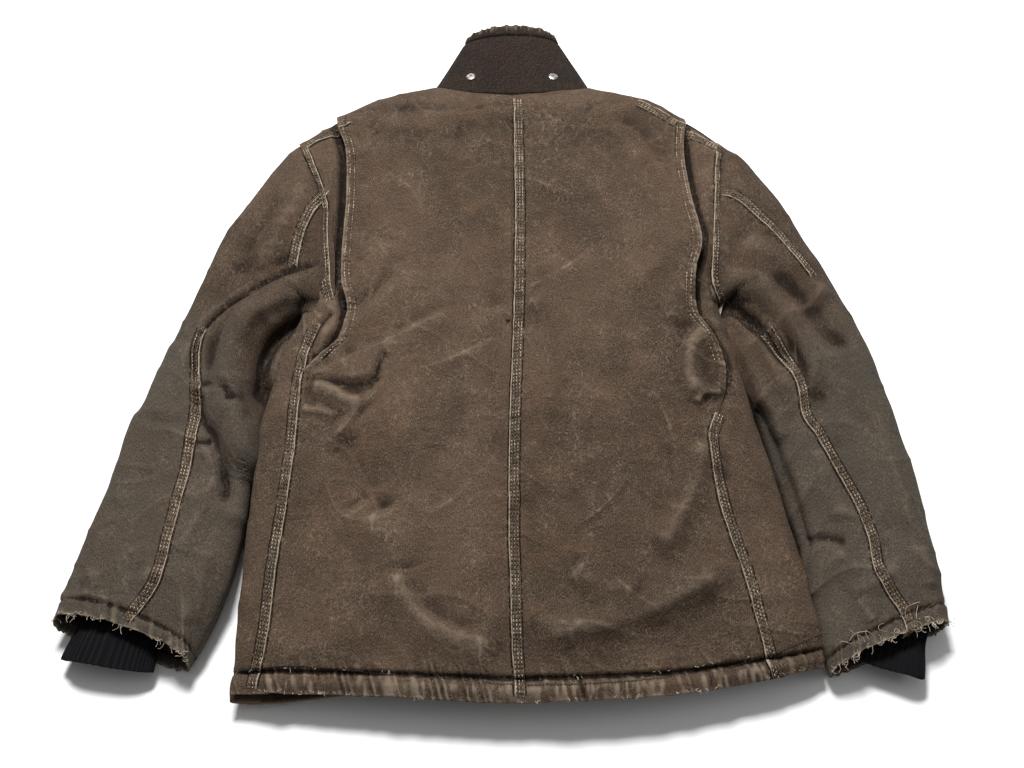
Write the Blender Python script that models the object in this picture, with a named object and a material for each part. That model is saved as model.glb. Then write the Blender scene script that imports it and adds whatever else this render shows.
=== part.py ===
"""Worn canvas work jacket, lying face down: quilt lined, with bi-swing back pleats, knit storm cuffs,
a turned-up collar with two hood snaps, a front zip, two lower pockets and two flapped chest pockets.

Metres. +Y runs from the hem to the collar, +X to the wearer's right, and +Z out of the back.
The origin is under the middle of the jacket, on the surface that it lies on.
"""

import math

import bmesh
import bpy
from mathutils import Matrix, Vector

# ---------------------------------------------------------------- driving dimensions
BACK_LENGTH = 0.748  # hem to the back neck seam
COLLAR_RISE = 0.128  # plan length of the turned-up collar at the back
HEM_HALF = 0.301
WAIST_HALF = 0.275
WAIST_UP = 0.306  # above the hem
ARMPIT_HALF = 0.232
ARMPIT_UP = 0.461
SHOULDER_HALF = 0.262
SHOULDER_UP = 0.686
NECK_HALF = 0.098
BACK_NECK_DROP = 0.032
FRONT_NECK_DROP = 0.085
HEM_BOW = 0.020  # how far the hem rises from the middle to the sides

HEM_TOP = 0.046  # height of the back's outer face above the floor
CHEST_TOP = 0.083
NECK_TOP = 0.076
NECK_SIDE_TOP = 0.064
FRONT_LIFT = 0.011  # the front's outer face above the floor
ROUND_TOP = 2.6  # superellipse powers of the section
ROUND_FRONT = 6.0

CANVAS = 0.0020
LAYER_GAP = 0.0003
QUILT_GAP = 0.0007
QUILT = 0.0060
SLEEVE_QUILT = 0.0045
SEAM_GAP = 0.0003

# Outer edge of each back panel: the side seam at the hem, the pleat's fold above it.
PANEL_EDGE_HEM = 0.276
PANEL_EDGE_WAIST = 0.232
PANEL_EDGE_PLEAT = 0.201
PLEAT_FOOT_UP = 0.405
SHOULDER_SEAM_ANGLE = 9.0  # degrees round the section, above the shoulder's fold
SIDE_FOLD_ANGLE = 6.0  # degrees, where the linings of back and side meet
FRONT_SEAM_ANGLE = -42.0  # degrees round the section, where side and front panels meet

ARMHOLE_GAP = 0.0008  # between the body's cloth and the sleeve's
SLEEVE_DROP = 0.588  # from the shoulder tip down to the cuff's outer corner
SLEEVE_SPREAD = 0.038  # clear of the hem, at the cuff's inner corner
CUFF_WIDTH = 0.138
CUFF_SLANT = 23.0  # degrees
SLEEVE_TOP_HEAD = 0.080
SLEEVE_TOP_ELBOW = 0.082
CUFF_TOP = 0.052
KNIT_REACH = 0.036  # how far the knit cuff stands out of the sleeve
KNIT = 0.0030
KNIT_HALF = 0.043
KNIT_TOP = 0.034  # height of the knit cuff at its mouth
KNIT_LIFT = 0.0045
LINING_SHORT = 0.014  # the sleeve lining stops this far short of the cuff

COLLAR_LAYER = 0.0022
COLLAR_SEAT = 0.0007
COLLAR_TOP_HALF = 0.056
COLLAR_TOP = 0.058
COLLAR_SIDE_DIP = 0.014
COLLAR_FRONT_DIP = 0.098
COLLAR_OPEN = 12.0  # degrees of the ring left open each side of the front centre
SNAP_OUT = 0.051  # hood snaps, each side of the centre
SNAP_SHARE = 0.24  # share of the collar's rise at which they sit
SNAP_RADIUS = 0.0056
SNAP_HEIGHT = 0.0022
SNAP_DIMPLE = 0.0018

ZIP_HALF_GAP = 0.009  # half the gap between the two front edges
CHAIN_IN = 0.0006
CHAIN_OUT = 0.0032
CHAIN_HEIGHT = 0.0026
TAPE_WIDTH = 0.0125
TAPE = 0.0008
ZIP_FOOT_UP = 0.020
SLIDER_LENGTH = 0.012
SLIDER_HALF = 0.0055
SLIDER_PLATE = 0.0018
SLIDER_CLEAR = 0.0004
SLIDER_NECK_HALF = 0.0003
STOP_LENGTH = 0.004
PULL_LENGTH = 0.034
PULL_HALF = 0.0036
PULL_THICK = 0.0014
PULL_PIN_RADIUS = 0.0007
BAIL_HALF = 0.0012
BAIL_SPAN = 0.0060
BAIL_WIRE = 0.0010
BAIL_DROP = 0.0036
PIN_BELOW = 0.0013  # the pull's pin, below the slider's outer plate

POCKET_CLOTH = 0.0015
LOWER_POCKET = dict(x=0.152, up=0.185, width=0.168, height=0.205, lift=0.0)
CHEST_POCKET = dict(x=0.145, up=0.533, width=0.122, height=0.130, lift=0.0036)
FLAP_DROP = 0.058
FLAP_RISE = 0.020  # from the pocket's mouth up to the flap's hinge
FLAP_OVERHANG = 0.004
FLAP_CLOTH = 0.0015
FLAP_FLOOR = 0.0012

WIND_FLAP_HALF = 0.028
WIND_FLAP = 0.0014
INNER_POCKET_SEAT = 0.0011
INNER_POCKET = dict(x=0.110, up=0.470, width=0.120, height=0.150)
LOOP_HALF = 0.032
LOOP_WIDTH = 0.008
LOOP_THICK = 0.0014
LOOP_SAG = 0.006

# ---------------------------------------------------------------- what follows from them
NECK_SIDE_UP = BACK_LENGTH + BACK_NECK_DROP
FRONT_NECK_UP = NECK_SIDE_UP - FRONT_NECK_DROP
ORIGIN_UP = (BACK_LENGTH + COLLAR_RISE) / 2
LINING_DEPTH = CANVAS + QUILT_GAP
LINING_FACE = LINING_DEPTH + QUILT
ZIP_TOP_UP = FRONT_NECK_UP - 0.006
TAPE_LOW = FRONT_LIFT + CANVAS + LAYER_GAP
CHAIN_MIDDLE = TAPE_LOW + TAPE / 2

CLOTH = dict(colour=(0.105, 0.078, 0.058), roughness=0.95)
DARK_CLOTH = dict(colour=(0.060, 0.045, 0.036), roughness=0.95)
CORD_CLOTH = dict(colour=(0.050, 0.034, 0.024), roughness=0.9)
QUILTED = dict(colour=(0.030, 0.028, 0.027), roughness=0.55)
KNITTED = dict(colour=(0.012, 0.013, 0.016), roughness=0.95)
METAL = dict(colour=(0.72, 0.70, 0.66), roughness=0.35, metallic=1.0)
BRASS = dict(colour=(0.55, 0.40, 0.20), roughness=0.4, metallic=1.0)
TAPE_CLOTH = dict(colour=(0.055, 0.042, 0.034), roughness=0.9)


def clear_scene():
    for obj in list(bpy.data.objects):
        bpy.data.objects.remove(obj, do_unlink=True)


def material(name, colour, roughness, metallic=0.0):
    made = bpy.data.materials.new(name)
    made.use_nodes = True
    shader = made.node_tree.nodes["Principled BSDF"]
    shader.inputs["Base Color"].default_value = (*colour, 1.0)
    shader.inputs["Roughness"].default_value = roughness
    shader.inputs["Metallic"].default_value = metallic
    return made


def finish(bm, name, look, smooth_angle=35.0):
    """Turns a bmesh into a named object with its own material."""
    bmesh.ops.recalc_face_normals(bm, faces=bm.faces)
    if bm.calc_volume(signed=True) < 0:
        bmesh.ops.reverse_faces(bm, faces=bm.faces)
    mesh = bpy.data.meshes.new(name)
    bm.to_mesh(mesh)
    bm.free()
    mesh.shade_smooth()
    mesh.set_sharp_from_angle(angle=math.radians(smooth_angle))
    obj = bpy.data.objects.new(name, mesh)
    bpy.context.scene.collection.objects.link(obj)
    mesh.materials.append(material(name, **look))
    return obj


# ---------------------------------------------------------------- curves
def profile(table, at):
    """Smooth curve through (position, value) pairs, clamped at both ends."""
    if at <= table[0][0]:
        return table[0][1]
    if at >= table[-1][0]:
        return table[-1][1]
    k = max(i for i in range(len(table) - 1) if table[i][0] <= at)

    def slope(i):
        lo, hi = max(i - 1, 0), min(i + 1, len(table) - 1)
        return (table[hi][1] - table[lo][1]) / (table[hi][0] - table[lo][0])

    span = table[k + 1][0] - table[k][0]
    s = (at - table[k][0]) / span
    start, end = table[k][1], table[k + 1][1]
    return (
        (2 * s**3 - 3 * s**2 + 1) * start
        + (s**3 - 2 * s**2 + s) * span * slope(k)
        + (3 * s**2 - 2 * s**3) * end
        + (s**3 - s**2) * span * slope(k + 1)
    )


def bezier(points, s):
    a, b, c, d = points
    r = 1 - s
    return a * r**3 + b * 3 * r * r * s + c * 3 * r * s * s + d * s**3


def blend(a, b, s):
    return a + (b - a) * s


def rounded(angle, half_width, half_height, power):
    """Superellipse point: sideways and upward offsets at an angle in radians."""
    c, s = math.cos(angle), math.sin(angle)
    side = math.copysign(abs(c) ** (2 / power), c) * half_width
    rise = math.copysign(abs(s) ** (2 / power), s) * half_height
    return side, rise


# ---------------------------------------------------------------- the body's section
OUTLINE = [
    (0.0, HEM_HALF),
    (WAIST_UP / 2, blend(HEM_HALF, WAIST_HALF, 0.36)),
    (WAIST_UP, WAIST_HALF),
    (ARMPIT_UP, ARMPIT_HALF),
]
SHOULDER_LINE = [
    (SHOULDER_UP, SHOULDER_HALF),
    (blend(SHOULDER_UP, NECK_SIDE_UP, 0.42), blend(SHOULDER_HALF, NECK_HALF, 0.26)),
    (blend(SHOULDER_UP, NECK_SIDE_UP, 0.78), blend(SHOULDER_HALF, NECK_HALF, 0.58)),
    (NECK_SIDE_UP, NECK_HALF),
]
HEIGHTS = [
    (0.0, HEM_TOP),
    (WAIST_UP * 0.45, blend(HEM_TOP, CHEST_TOP, 0.58)),
    (WAIST_UP, blend(HEM_TOP, CHEST_TOP, 0.88)),
    (ARMPIT_UP, CHEST_TOP),
    (SHOULDER_UP, blend(NECK_TOP, CHEST_TOP, 0.3)),
    (BACK_LENGTH, NECK_TOP),
    (NECK_SIDE_UP, NECK_SIDE_TOP),
]
PANEL_EDGE = [
    (0.0, PANEL_EDGE_HEM),
    (WAIST_UP * 0.6, blend(PANEL_EDGE_HEM, PANEL_EDGE_WAIST, 0.72)),
    (WAIST_UP, PANEL_EDGE_WAIST),
    (PLEAT_FOOT_UP, PANEL_EDGE_PLEAT + 0.006),
    (ARMPIT_UP, PANEL_EDGE_PLEAT),
    (SHOULDER_UP, PANEL_EDGE_PLEAT + 0.006),
]


def armhole_share(up):
    return (up - ARMPIT_UP) / (SHOULDER_UP - ARMPIT_UP)


def armhole_half(up):
    """Where the body's cloth stops, beside the armhole."""
    return blend(ARMPIT_HALF, SHOULDER_HALF, armhole_share(up))


def outline_half(up):
    """Half width of the section. Beside the armhole it runs on past the cloth's edge, into the sleeve."""
    if up <= ARMPIT_UP:
        return profile(OUTLINE, up)
    if up >= SHOULDER_UP:
        return profile(SHOULDER_LINE, up)
    closed = 0.5 + 0.5 * abs(2 * armhole_share(up) - 1) ** 1.5
    return armhole_half(up) / closed


def cloth_half(up):
    inside = ARMPIT_UP < up < SHOULDER_UP
    return armhole_half(up) if inside else outline_half(up)


def body_point(up, angle, depth, side=1):
    """A point on the body's wall: angle 90 is the back's middle, 0 the side, -90 the front's middle."""
    top = profile(HEIGHTS, up)
    half = outline_half(up)
    a = math.radians(angle)
    power = ROUND_TOP if a >= 0 else ROUND_FRONT
    across, rise = rounded(a, half - depth, (top - FRONT_LIFT) / 2 - depth, power)
    low = max(0.0, 1 - up / WAIST_UP)
    y = up - ORIGIN_UP + HEM_BOW * (across / half) ** 2 * low * low
    return Vector((side * across, y, (top + FRONT_LIFT) / 2 + rise))


def angle_at(up, x, front=False):
    """The angle, in degrees, at which the section is x from the middle."""
    power = ROUND_FRONT if front else ROUND_TOP
    share = min(1.0, max(0.0, x / outline_half(up)))
    angle = math.degrees(math.acos(share ** (power / 2)))
    return -angle if front else angle


def neck_half(up, drop):
    """Half width of the neck opening at a height, for a neckline that drops that far at the middle."""
    below = (NECK_SIDE_UP - up) / drop
    return NECK_HALF * math.sqrt(1 - below * below) if below < 1 else 0.0


# ---------------------------------------------------------------- sheets and tubes of cloth
def slab(name, point, columns, rows, look):
    """A closed slab: point(u, row value, face) gives its outer face (0) and inner face (1)."""
    bm = bmesh.new()
    bmesh.ops.create_grid(bm, x_segments=columns, y_segments=len(rows) - 1, size=0.5)
    made = bmesh.ops.extrude_face_region(bm, geom=bm.faces[:], use_keep_orig=True)
    inner = {v for v in made["geom"] if isinstance(v, bmesh.types.BMVert)}
    for v in bm.verts:
        row = rows[round((v.co.y + 0.5) * (len(rows) - 1))]
        v.co = point(v.co.x + 0.5, row, 1 if v in inner else 0)
    return finish(bm, name, look)


def tube(name, point, segments, rows, look):
    """A closed-walled tube: point(turn, row value, face), with turn from 0 to 1 round it."""
    bm = bmesh.new()
    ring = bmesh.ops.create_circle(bm, segments=segments, radius=1.0, cap_ends=False)["verts"]
    edges = list({e for v in ring for e in v.link_edges})
    for level in range(1, len(rows)):
        made = bmesh.ops.extrude_edge_only(bm, edges=edges)["geom"]
        for v in (g for g in made if isinstance(g, bmesh.types.BMVert)):
            v.co.z = level
        edges = [g for g in made if isinstance(g, bmesh.types.BMEdge)]
    made = bmesh.ops.extrude_face_region(bm, geom=bm.faces[:], use_keep_orig=True)
    inner = {v for v in made["geom"] if isinstance(v, bmesh.types.BMVert)}
    for v in bm.verts:
        turn = math.atan2(v.co.y, v.co.x) / math.tau % 1.0
        v.co = point(turn, rows[round(v.co.z)], 1 if v in inner else 0)
    return finish(bm, name, look)


def box(bm, low, high):
    made = bmesh.ops.create_cube(bm, size=1.0)["verts"]
    size = [h - l for l, h in zip(low, high)]
    middle = [(h + l) / 2 for l, h in zip(low, high)]
    bmesh.ops.scale(bm, verts=made, vec=size)
    bmesh.ops.translate(bm, verts=made, vec=middle)
    return made


def box_part(name, low, high, look):
    bm = bmesh.new()
    box(bm, low, high)
    return finish(bm, name, look)


def combine(body, low, high, operation):
    """Adds a box to a body, or cuts one out of it."""
    tool = box_part(f"{body.name}_tool", low, high, METAL)
    tool.hide_render = True
    tool.display_type = "WIRE"
    modifier = body.modifiers.new(operation.lower(), "BOOLEAN")
    modifier.operation = operation
    modifier.solver = "EXACT"
    modifier.object = tool


def joined_boxes(name, boxes, look):
    body = box_part(name, *boxes[0], look)
    for low, high in boxes[1:]:
        combine(body, low, high, "UNION")
    return body


def extruded(name, outline, x_low, x_high, look):
    """A (y, z) outline extruded along X."""
    bm = bmesh.new()
    face = bm.faces.new([bm.verts.new((x_low, y, z)) for y, z in outline])
    made = bmesh.ops.extrude_face_region(bm, geom=[face], use_keep_orig=True)["geom"]
    moved = [g for g in made if isinstance(g, bmesh.types.BMVert)]
    bmesh.ops.translate(bm, verts=moved, vec=(x_high - x_low, 0, 0))
    return finish(bm, name, look)


def steps(low, high, count):
    return [blend(low, high, k / count) for k in range(count + 1)]


# ---------------------------------------------------------------- shared stations of the body
# Every layer takes its rows and columns from the same stations, so that the layers stay parallel.
BELOW_ARMPIT = steps(0.0, ARMPIT_UP - 0.002, 9)
BESIDE_ARMHOLE = steps(ARMPIT_UP + 0.008, SHOULDER_UP, 6)
SHOULDER_ROWS = steps(SHOULDER_UP, BACK_LENGTH, 3)[1:3]
COLLAR_STEP = 12.0  # degrees of the neckline's arc between rows


def neck_rows(drop):
    """Rows up the neckline, from its middle towards the shoulder."""
    turns = [90.0 - COLLAR_STEP * k for k in range(7)]
    return [NECK_SIDE_UP - drop * math.sin(math.radians(turn)) for turn in turns]


def rows_between(low, high, tops=()):
    """The shared rows inside a range, with its two ends."""
    shared = sorted({*BELOW_ARMPIT, *BESIDE_ARMHOLE, *SHOULDER_ROWS, *tops})
    inside = [up for up in shared if low + 0.003 < up < high - 0.003]
    return [low, *inside, high]


def back_middle(up):
    return angle_at(up, max(SEAM_GAP / 2, neck_half(up, BACK_NECK_DROP)))


def pleat_fold(up):
    """The angle of the back panel's outer edge: the pleat's fold, or a seam."""
    if up <= SHOULDER_UP:
        return angle_at(up, profile(PANEL_EDGE, up))
    if up < SHOULDER_ROWS[0]:
        closing = (up - SHOULDER_UP) / (SHOULDER_ROWS[0] - SHOULDER_UP)
        return blend(pleat_fold(SHOULDER_UP), SHOULDER_SEAM_ANGLE + 2.0, closing)
    return SHOULDER_SEAM_ANGLE


def back_edge(up):
    """The angle at which the back ends: the armhole, or the fold at the side."""
    if up <= ARMPIT_UP:
        return SIDE_FOLD_ANGLE
    if up < SHOULDER_UP:
        return angle_at(up, armhole_half(up) - ARMHOLE_GAP / 2)
    return SHOULDER_SEAM_ANGLE - 1.0


def front_edge(up):
    """The angle at which the front ends: the side seam, the armhole or the shoulder seam."""
    if up <= ARMPIT_UP:
        return FRONT_SEAM_ANGLE
    if up < SHOULDER_UP:
        return angle_at(up, armhole_half(up) - ARMHOLE_GAP / 2, front=True)
    wrapped = min(1.0, (up - SHOULDER_UP) / (FRONT_NECK_UP - SHOULDER_UP))
    return blend(-2.0, SHOULDER_SEAM_ANGLE - 2.0, wrapped)


def front_inner(up):
    return angle_at(up, max(ZIP_HALF_GAP, neck_half(up, FRONT_NECK_DROP)), front=True)


BACK_COLUMNS = 8
PLEAT_COLUMNS = 3
SIDE_COLUMNS = 5
FRONT_COLUMNS = 8


def across_keys(keys, counts, u):
    """Divides a run of keys into the columns of each interval; u runs over all the columns."""
    column = u * sum(counts)
    for k, count in enumerate(counts):
        if column <= count + 1e-9:
            return blend(keys[k], keys[k + 1], column / count)
        column -= count
    return keys[-1]


def body_sheet(name, rows, keys, counts, depths, look, side=1):
    """A panel of the body: keys are functions of height, giving angles round the section."""

    def point(u, up, face):
        angle = across_keys([key(up) for key in keys], counts, u)
        return body_point(up, angle, depths[face], side)

    return slab(name, point, sum(counts), rows, look)


# ---------------------------------------------------------------- outer shell
SHELL = (0.0, CANVAS)


def just_past(key, step):
    """A key moved by a seam's width, in degrees."""
    return lambda up: key(up) + step


def shell(side, word):
    rows = rows_between(0.0, NECK_SIDE_UP - 0.007, neck_rows(BACK_NECK_DROP))
    keys = (back_middle, pleat_fold)
    body_sheet(f"back_panel_{word}", rows, keys, (BACK_COLUMNS,), SHELL, CLOTH, side)
    rows = rows_between(BESIDE_ARMHOLE[0], SHOULDER_ROWS[0] - 0.002)
    keys = (just_past(pleat_fold, -0.5), back_edge)
    body_sheet(f"pleat_panel_{word}", rows, keys, (PLEAT_COLUMNS,), SHELL, CLOTH, side)
    rows = rows_between(0.0, BELOW_ARMPIT[-1])
    keys = (just_past(pleat_fold, -0.3), back_edge, front_edge)
    body_sheet(f"side_panel_{word}", rows, keys, (PLEAT_COLUMNS, SIDE_COLUMNS), SHELL, CLOTH, side)
    rows = rows_between(0.0, NECK_SIDE_UP - 0.016, neck_rows(FRONT_NECK_DROP))
    keys = (just_past(front_edge, -0.6), front_inner)
    body_sheet(f"front_panel_{word}", rows, keys, (FRONT_COLUMNS,), SHELL, CLOTH, side)


# ---------------------------------------------------------------- quilted lining
QUILT_FACES = (LINING_DEPTH, LINING_FACE)


def lining_back(side, name):
    rows = rows_between(0.004, BACK_LENGTH)
    keys = (back_middle, pleat_fold, back_edge)
    body_sheet(name, rows, keys, (BACK_COLUMNS, PLEAT_COLUMNS), QUILT_FACES, QUILTED, side)


def lining_side(side, name):
    rows = rows_between(0.004, BELOW_ARMPIT[-1])
    keys = (just_past(back_edge, -0.6), just_past(front_edge, 0.6))
    body_sheet(name, rows, keys, (SIDE_COLUMNS,), QUILT_FACES, QUILTED, side)


def lining_front(side, name):
    def inner(up):
        clear_of_tape = angle_at(up, ZIP_HALF_GAP + TAPE_WIDTH * 0.75, front=True)
        return max(clear_of_tape, front_inner(up))

    rows = rows_between(0.004, FRONT_NECK_UP - 0.001)
    keys = (just_past(front_edge, -1.2), inner)
    body_sheet(name, rows, keys, (FRONT_COLUMNS,), QUILT_FACES, QUILTED, side)


# ---------------------------------------------------------------- sleeves
def sleeve_edges():
    """Outer and inner plan edges, each a cubic from the armhole to the cuff."""
    shoulder = Vector((SHOULDER_HALF, SHOULDER_UP))
    armpit = Vector((ARMPIT_HALF, ARMPIT_UP))
    slant = math.radians(CUFF_SLANT)
    cuff_in_x = HEM_HALF + SLEEVE_SPREAD
    cuff_out = Vector((cuff_in_x + CUFF_WIDTH * math.cos(slant), SHOULDER_UP - SLEEVE_DROP))
    cuff_in = Vector((cuff_in_x, cuff_out.y - CUFF_WIDTH * math.sin(slant)))
    drop = SLEEVE_DROP
    outer = [
        shoulder,
        shoulder + Vector((0.105, -0.226 * drop)),
        cuff_out + Vector((-0.024, 0.337 * drop)),
        cuff_out,
    ]
    inner = [
        armpit,
        Vector((WAIST_HALF + 0.003, blend(armpit.y, cuff_in.y, 0.32))),
        Vector((cuff_in.x - 0.035, blend(armpit.y, cuff_in.y, 0.70))),
        cuff_in,
    ]
    return outer, inner


OUTER_EDGE, INNER_EDGE = sleeve_edges()
SLEEVE_HEIGHTS = [(0.0, SLEEVE_TOP_HEAD), (0.4, SLEEVE_TOP_ELBOW), (0.8, 0.066), (1.0, CUFF_TOP)]
LIFT_FADE = 0.3  # the share of the sleeve over which it settles onto the floor


def sleeve_lift(along):
    return FRONT_LIFT * max(0.0, 1 - along / LIFT_FADE) ** 2


def sleeve_point(along, angle, depth, side=1):
    """A point on the sleeve's wall: angle 0 is its outer edge, 90 its top, 180 its inner edge."""
    out, inn = bezier(OUTER_EDGE, along), bezier(INNER_EDGE, along)
    middle, reach = (out + inn) / 2, (out - inn) / 2
    top, low = profile(SLEEVE_HEIGHTS, along), sleeve_lift(along)
    across, rise = rounded(
        math.radians(angle), reach.length - depth, (top - low) / 2 - depth, ROUND_TOP
    )
    at = middle + reach.normalized() * across + Vector((ARMHOLE_GAP / 2, 0))
    return Vector((side * at.x, at.y - ORIGIN_UP, (top + low) / 2 + rise))


def sleeve_sheet(name, side, turns, alongs, depths, look, columns):
    def point(u, along, face):
        return sleeve_point(along, blend(turns[0], turns[1], u), depths[face], side)

    slab(name, point, columns, alongs, look)


SLEEVE_ROWS = steps(0.0, 1.0, 12)
LINING_END = 1.0 - LINING_SHORT / SLEEVE_DROP
HALF_COLUMNS = 10  # of each half of the sleeve, so that the cuff's ring can match them


def sleeve(side, word):
    """Outer and under panels, with the back seam on top and the front seam beneath."""
    slack = 0.25  # degrees, the seam between the two panels
    lined = SLEEVE_ROWS[:-1] + [LINING_END]
    quilt = (LINING_DEPTH, LINING_DEPTH + SLEEVE_QUILT)
    for half, turns in (("outer", (-90, 90)), ("under", (90, 270))):
        turns = (turns[0] + slack, turns[1] - slack)
        name = f"sleeve_{word}_{half}"
        sleeve_sheet(name, side, turns, SLEEVE_ROWS, (0.0, CANVAS), CLOTH, HALF_COLUMNS)
        name = f"sleeve_lining_{word}_{half}"
        sleeve_sheet(name, side, turns, lined, quilt, QUILTED, HALF_COLUMNS)


def knit_cuff(side, name):
    """A ribbed tube from inside the lining to beyond the sleeve's end."""
    quilt_face = LINING_DEPTH + SLEEVE_QUILT + QUILT_GAP
    end_out, end_in = bezier(OUTER_EDGE, 1.0), bezier(INNER_EDGE, 1.0)
    reach = (end_out - end_in).normalized()
    mouth = (end_out + end_in) / 2 + Vector((reach.y, -reach.x)) * KNIT_REACH

    def point(turn, row, face):
        inset = KNIT if face else 0.0
        inside = sleeve_point(min(row, LINING_END), turn * 360.0, quilt_face + inset, side)
        if row <= LINING_END:
            return inside
        across, rise = rounded(turn * math.tau, KNIT_HALF - inset, KNIT_TOP / 2 - inset, 2.4)
        at = mouth + reach * across
        outside = Vector((side * at.x, at.y - ORIGIN_UP, KNIT_LIFT + KNIT_TOP / 2 + rise))
        return blend(inside, outside, (row - LINING_END) / (1.0 - LINING_END))

    rows = [SLEEVE_ROWS[-2], LINING_END]
    rows += [blend(LINING_END, 1.0, share) for share in (0.35, 0.7, 1.0)]
    tube(name, point, 2 * HALF_COLUMNS, rows, KNITTED)


# ---------------------------------------------------------------- collar
def collar_point(turn, share, depth):
    """The collar's ring: turn 90 is the back, 0 the side, -90 the front. Share runs from seam to edge."""
    a = math.radians(turn)
    c, s = math.cos(a), math.sin(a)
    drop = BACK_NECK_DROP if s > 0 else FRONT_NECK_DROP
    low = Vector((c * NECK_HALF, NECK_SIDE_UP - drop * abs(s) + COLLAR_SEAT))
    dip = COLLAR_SIDE_DIP * (1 - s) if s > 0 else blend(COLLAR_SIDE_DIP, COLLAR_FRONT_DIP, -s)
    high = Vector((c * COLLAR_TOP_HALF, BACK_LENGTH + COLLAR_RISE - dip))
    plan = blend(low, high, share)
    plan.x -= math.copysign(min(depth, abs(plan.x)), plan.x) * abs(c)
    front = 0.0006
    top = blend(NECK_TOP, COLLAR_TOP, share) if s > 0 else FRONT_LIFT
    middle = blend((NECK_TOP + FRONT_LIFT) / 2, 0.044, share)
    reach = (top - middle) if s > 0 else (middle - blend(FRONT_LIFT, front, share))
    rise = math.copysign(abs(s) ** (2 / ROUND_TOP), s) * (reach - depth)
    return Vector((plan.x, plan.y - ORIGIN_UP, middle + rise))


def collar():
    turns = (-90 + COLLAR_OPEN, 270 - COLLAR_OPEN)
    inner = COLLAR_LAYER + LAYER_GAP
    for name, depths, look in (
        ("collar_outer", (0.0, COLLAR_LAYER), DARK_CLOTH),
        ("collar_facing", (inner, inner + COLLAR_LAYER), CORD_CLOTH),
    ):

        def point(u, share, face):
            return collar_point(blend(turns[0], turns[1], u), share, depths[face])

        slab(name, point, 28, steps(0.0, 1.0, 4), look)


def collar_seat(x):
    """Place and outward direction of a press stud at the collar's outer face."""
    share = SNAP_SHARE
    half = blend(NECK_HALF, COLLAR_TOP_HALF, share)
    turn = math.degrees(math.acos(x / half))
    at = collar_point(turn, share, 0.0)
    across = collar_point(turn - 1, share, 0.0) - at
    along = collar_point(turn, share + 0.02, 0.0) - at
    return at, across.cross(along).normalized()


def turned(bm, outline, segments=20):
    """Spins an (r, z) outline into a closed round solid."""
    verts = [bm.verts.new((r, 0, z)) for r, z in outline]
    edges = [bm.edges.new(pair) for pair in zip(verts, verts[1:])]
    bmesh.ops.spin(
        bm, geom=verts + edges, cent=(0, 0, 0), axis=(0, 0, 1), angle=math.tau, steps=segments,
        use_merge=True,
    )
    bmesh.ops.remove_doubles(bm, verts=bm.verts, dist=1e-6)


def snap_half(name, x, outside):
    at, out = collar_seat(x)
    radius, rim = SNAP_RADIUS, SNAP_RADIUS * 0.72
    hollow = SNAP_DIMPLE
    bm = bmesh.new()
    if outside:
        outline = [
            (0, 0), (radius, 0), (radius, SNAP_HEIGHT * 0.6), (rim, SNAP_HEIGHT),
            (hollow, SNAP_HEIGHT), (hollow, SNAP_HEIGHT * 0.35), (0, SNAP_HEIGHT * 0.35),
        ]
        seat = LAYER_GAP
    else:
        outline = [(0, 0), (radius, 0), (radius * 0.9, 0.0010), (0, 0.0012)]
        seat = 2 * COLLAR_LAYER + 2 * LAYER_GAP
    turned(bm, outline)
    face_out = Vector((0, 0, 1)).rotation_difference(out if outside else -out).to_matrix().to_4x4()
    place = Matrix.Translation(at + out * seat if outside else at - out * (seat + 0.0004))
    bm.transform(place @ face_out)
    return finish(bm, name, METAL)


# ---------------------------------------------------------------- zip
def up_to_y(up):
    return up - ORIGIN_UP


def zip_fastener():
    foot, head = up_to_y(ZIP_FOOT_UP), up_to_y(ZIP_TOP_UP)
    half = CHAIN_HEIGHT / 2
    gap = LAYER_GAP
    for side, word in ((-1, "left"), (1, "right")):

        def across(low, high):
            return sorted((side * low, side * high))

        x0, x1 = across(CHAIN_OUT + gap, CHAIN_OUT + gap + TAPE_WIDTH)
        low, high = (x0, foot, TAPE_LOW), (x1, head, TAPE_LOW + TAPE)
        box_part(f"zip_tape_{word}", low, high, TAPE_CLOTH)
        x0, x1 = across(CHAIN_IN, CHAIN_OUT)
        low = (x0, foot + STOP_LENGTH, CHAIN_MIDDLE - half)
        high = (x1, head - 2 * STOP_LENGTH, CHAIN_MIDDLE + half)
        box_part(f"zip_chain_{word}", low, high, BRASS)
        low = (x0, high[1] + gap, CHAIN_MIDDLE - half)
        end = (x1, high[1] + gap + STOP_LENGTH, CHAIN_MIDDLE + half)
        box_part(f"zip_top_stop_{word}", low, end, BRASS)
    low = (-CHAIN_OUT, foot + STOP_LENGTH - gap - 0.006, CHAIN_MIDDLE - half)
    box_part("zip_box", low, (CHAIN_OUT, foot + STOP_LENGTH - gap, CHAIN_MIDDLE + half), BRASS)


def slider_place():
    """Middle of the slider in Y, and the level of its outer face."""
    y = up_to_y(ZIP_TOP_UP) - 2 * STOP_LENGTH - SLIDER_LENGTH / 2
    outer = CHAIN_MIDDLE - CHAIN_HEIGHT / 2 - SLIDER_CLEAR - SLIDER_PLATE
    return y, outer


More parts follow.
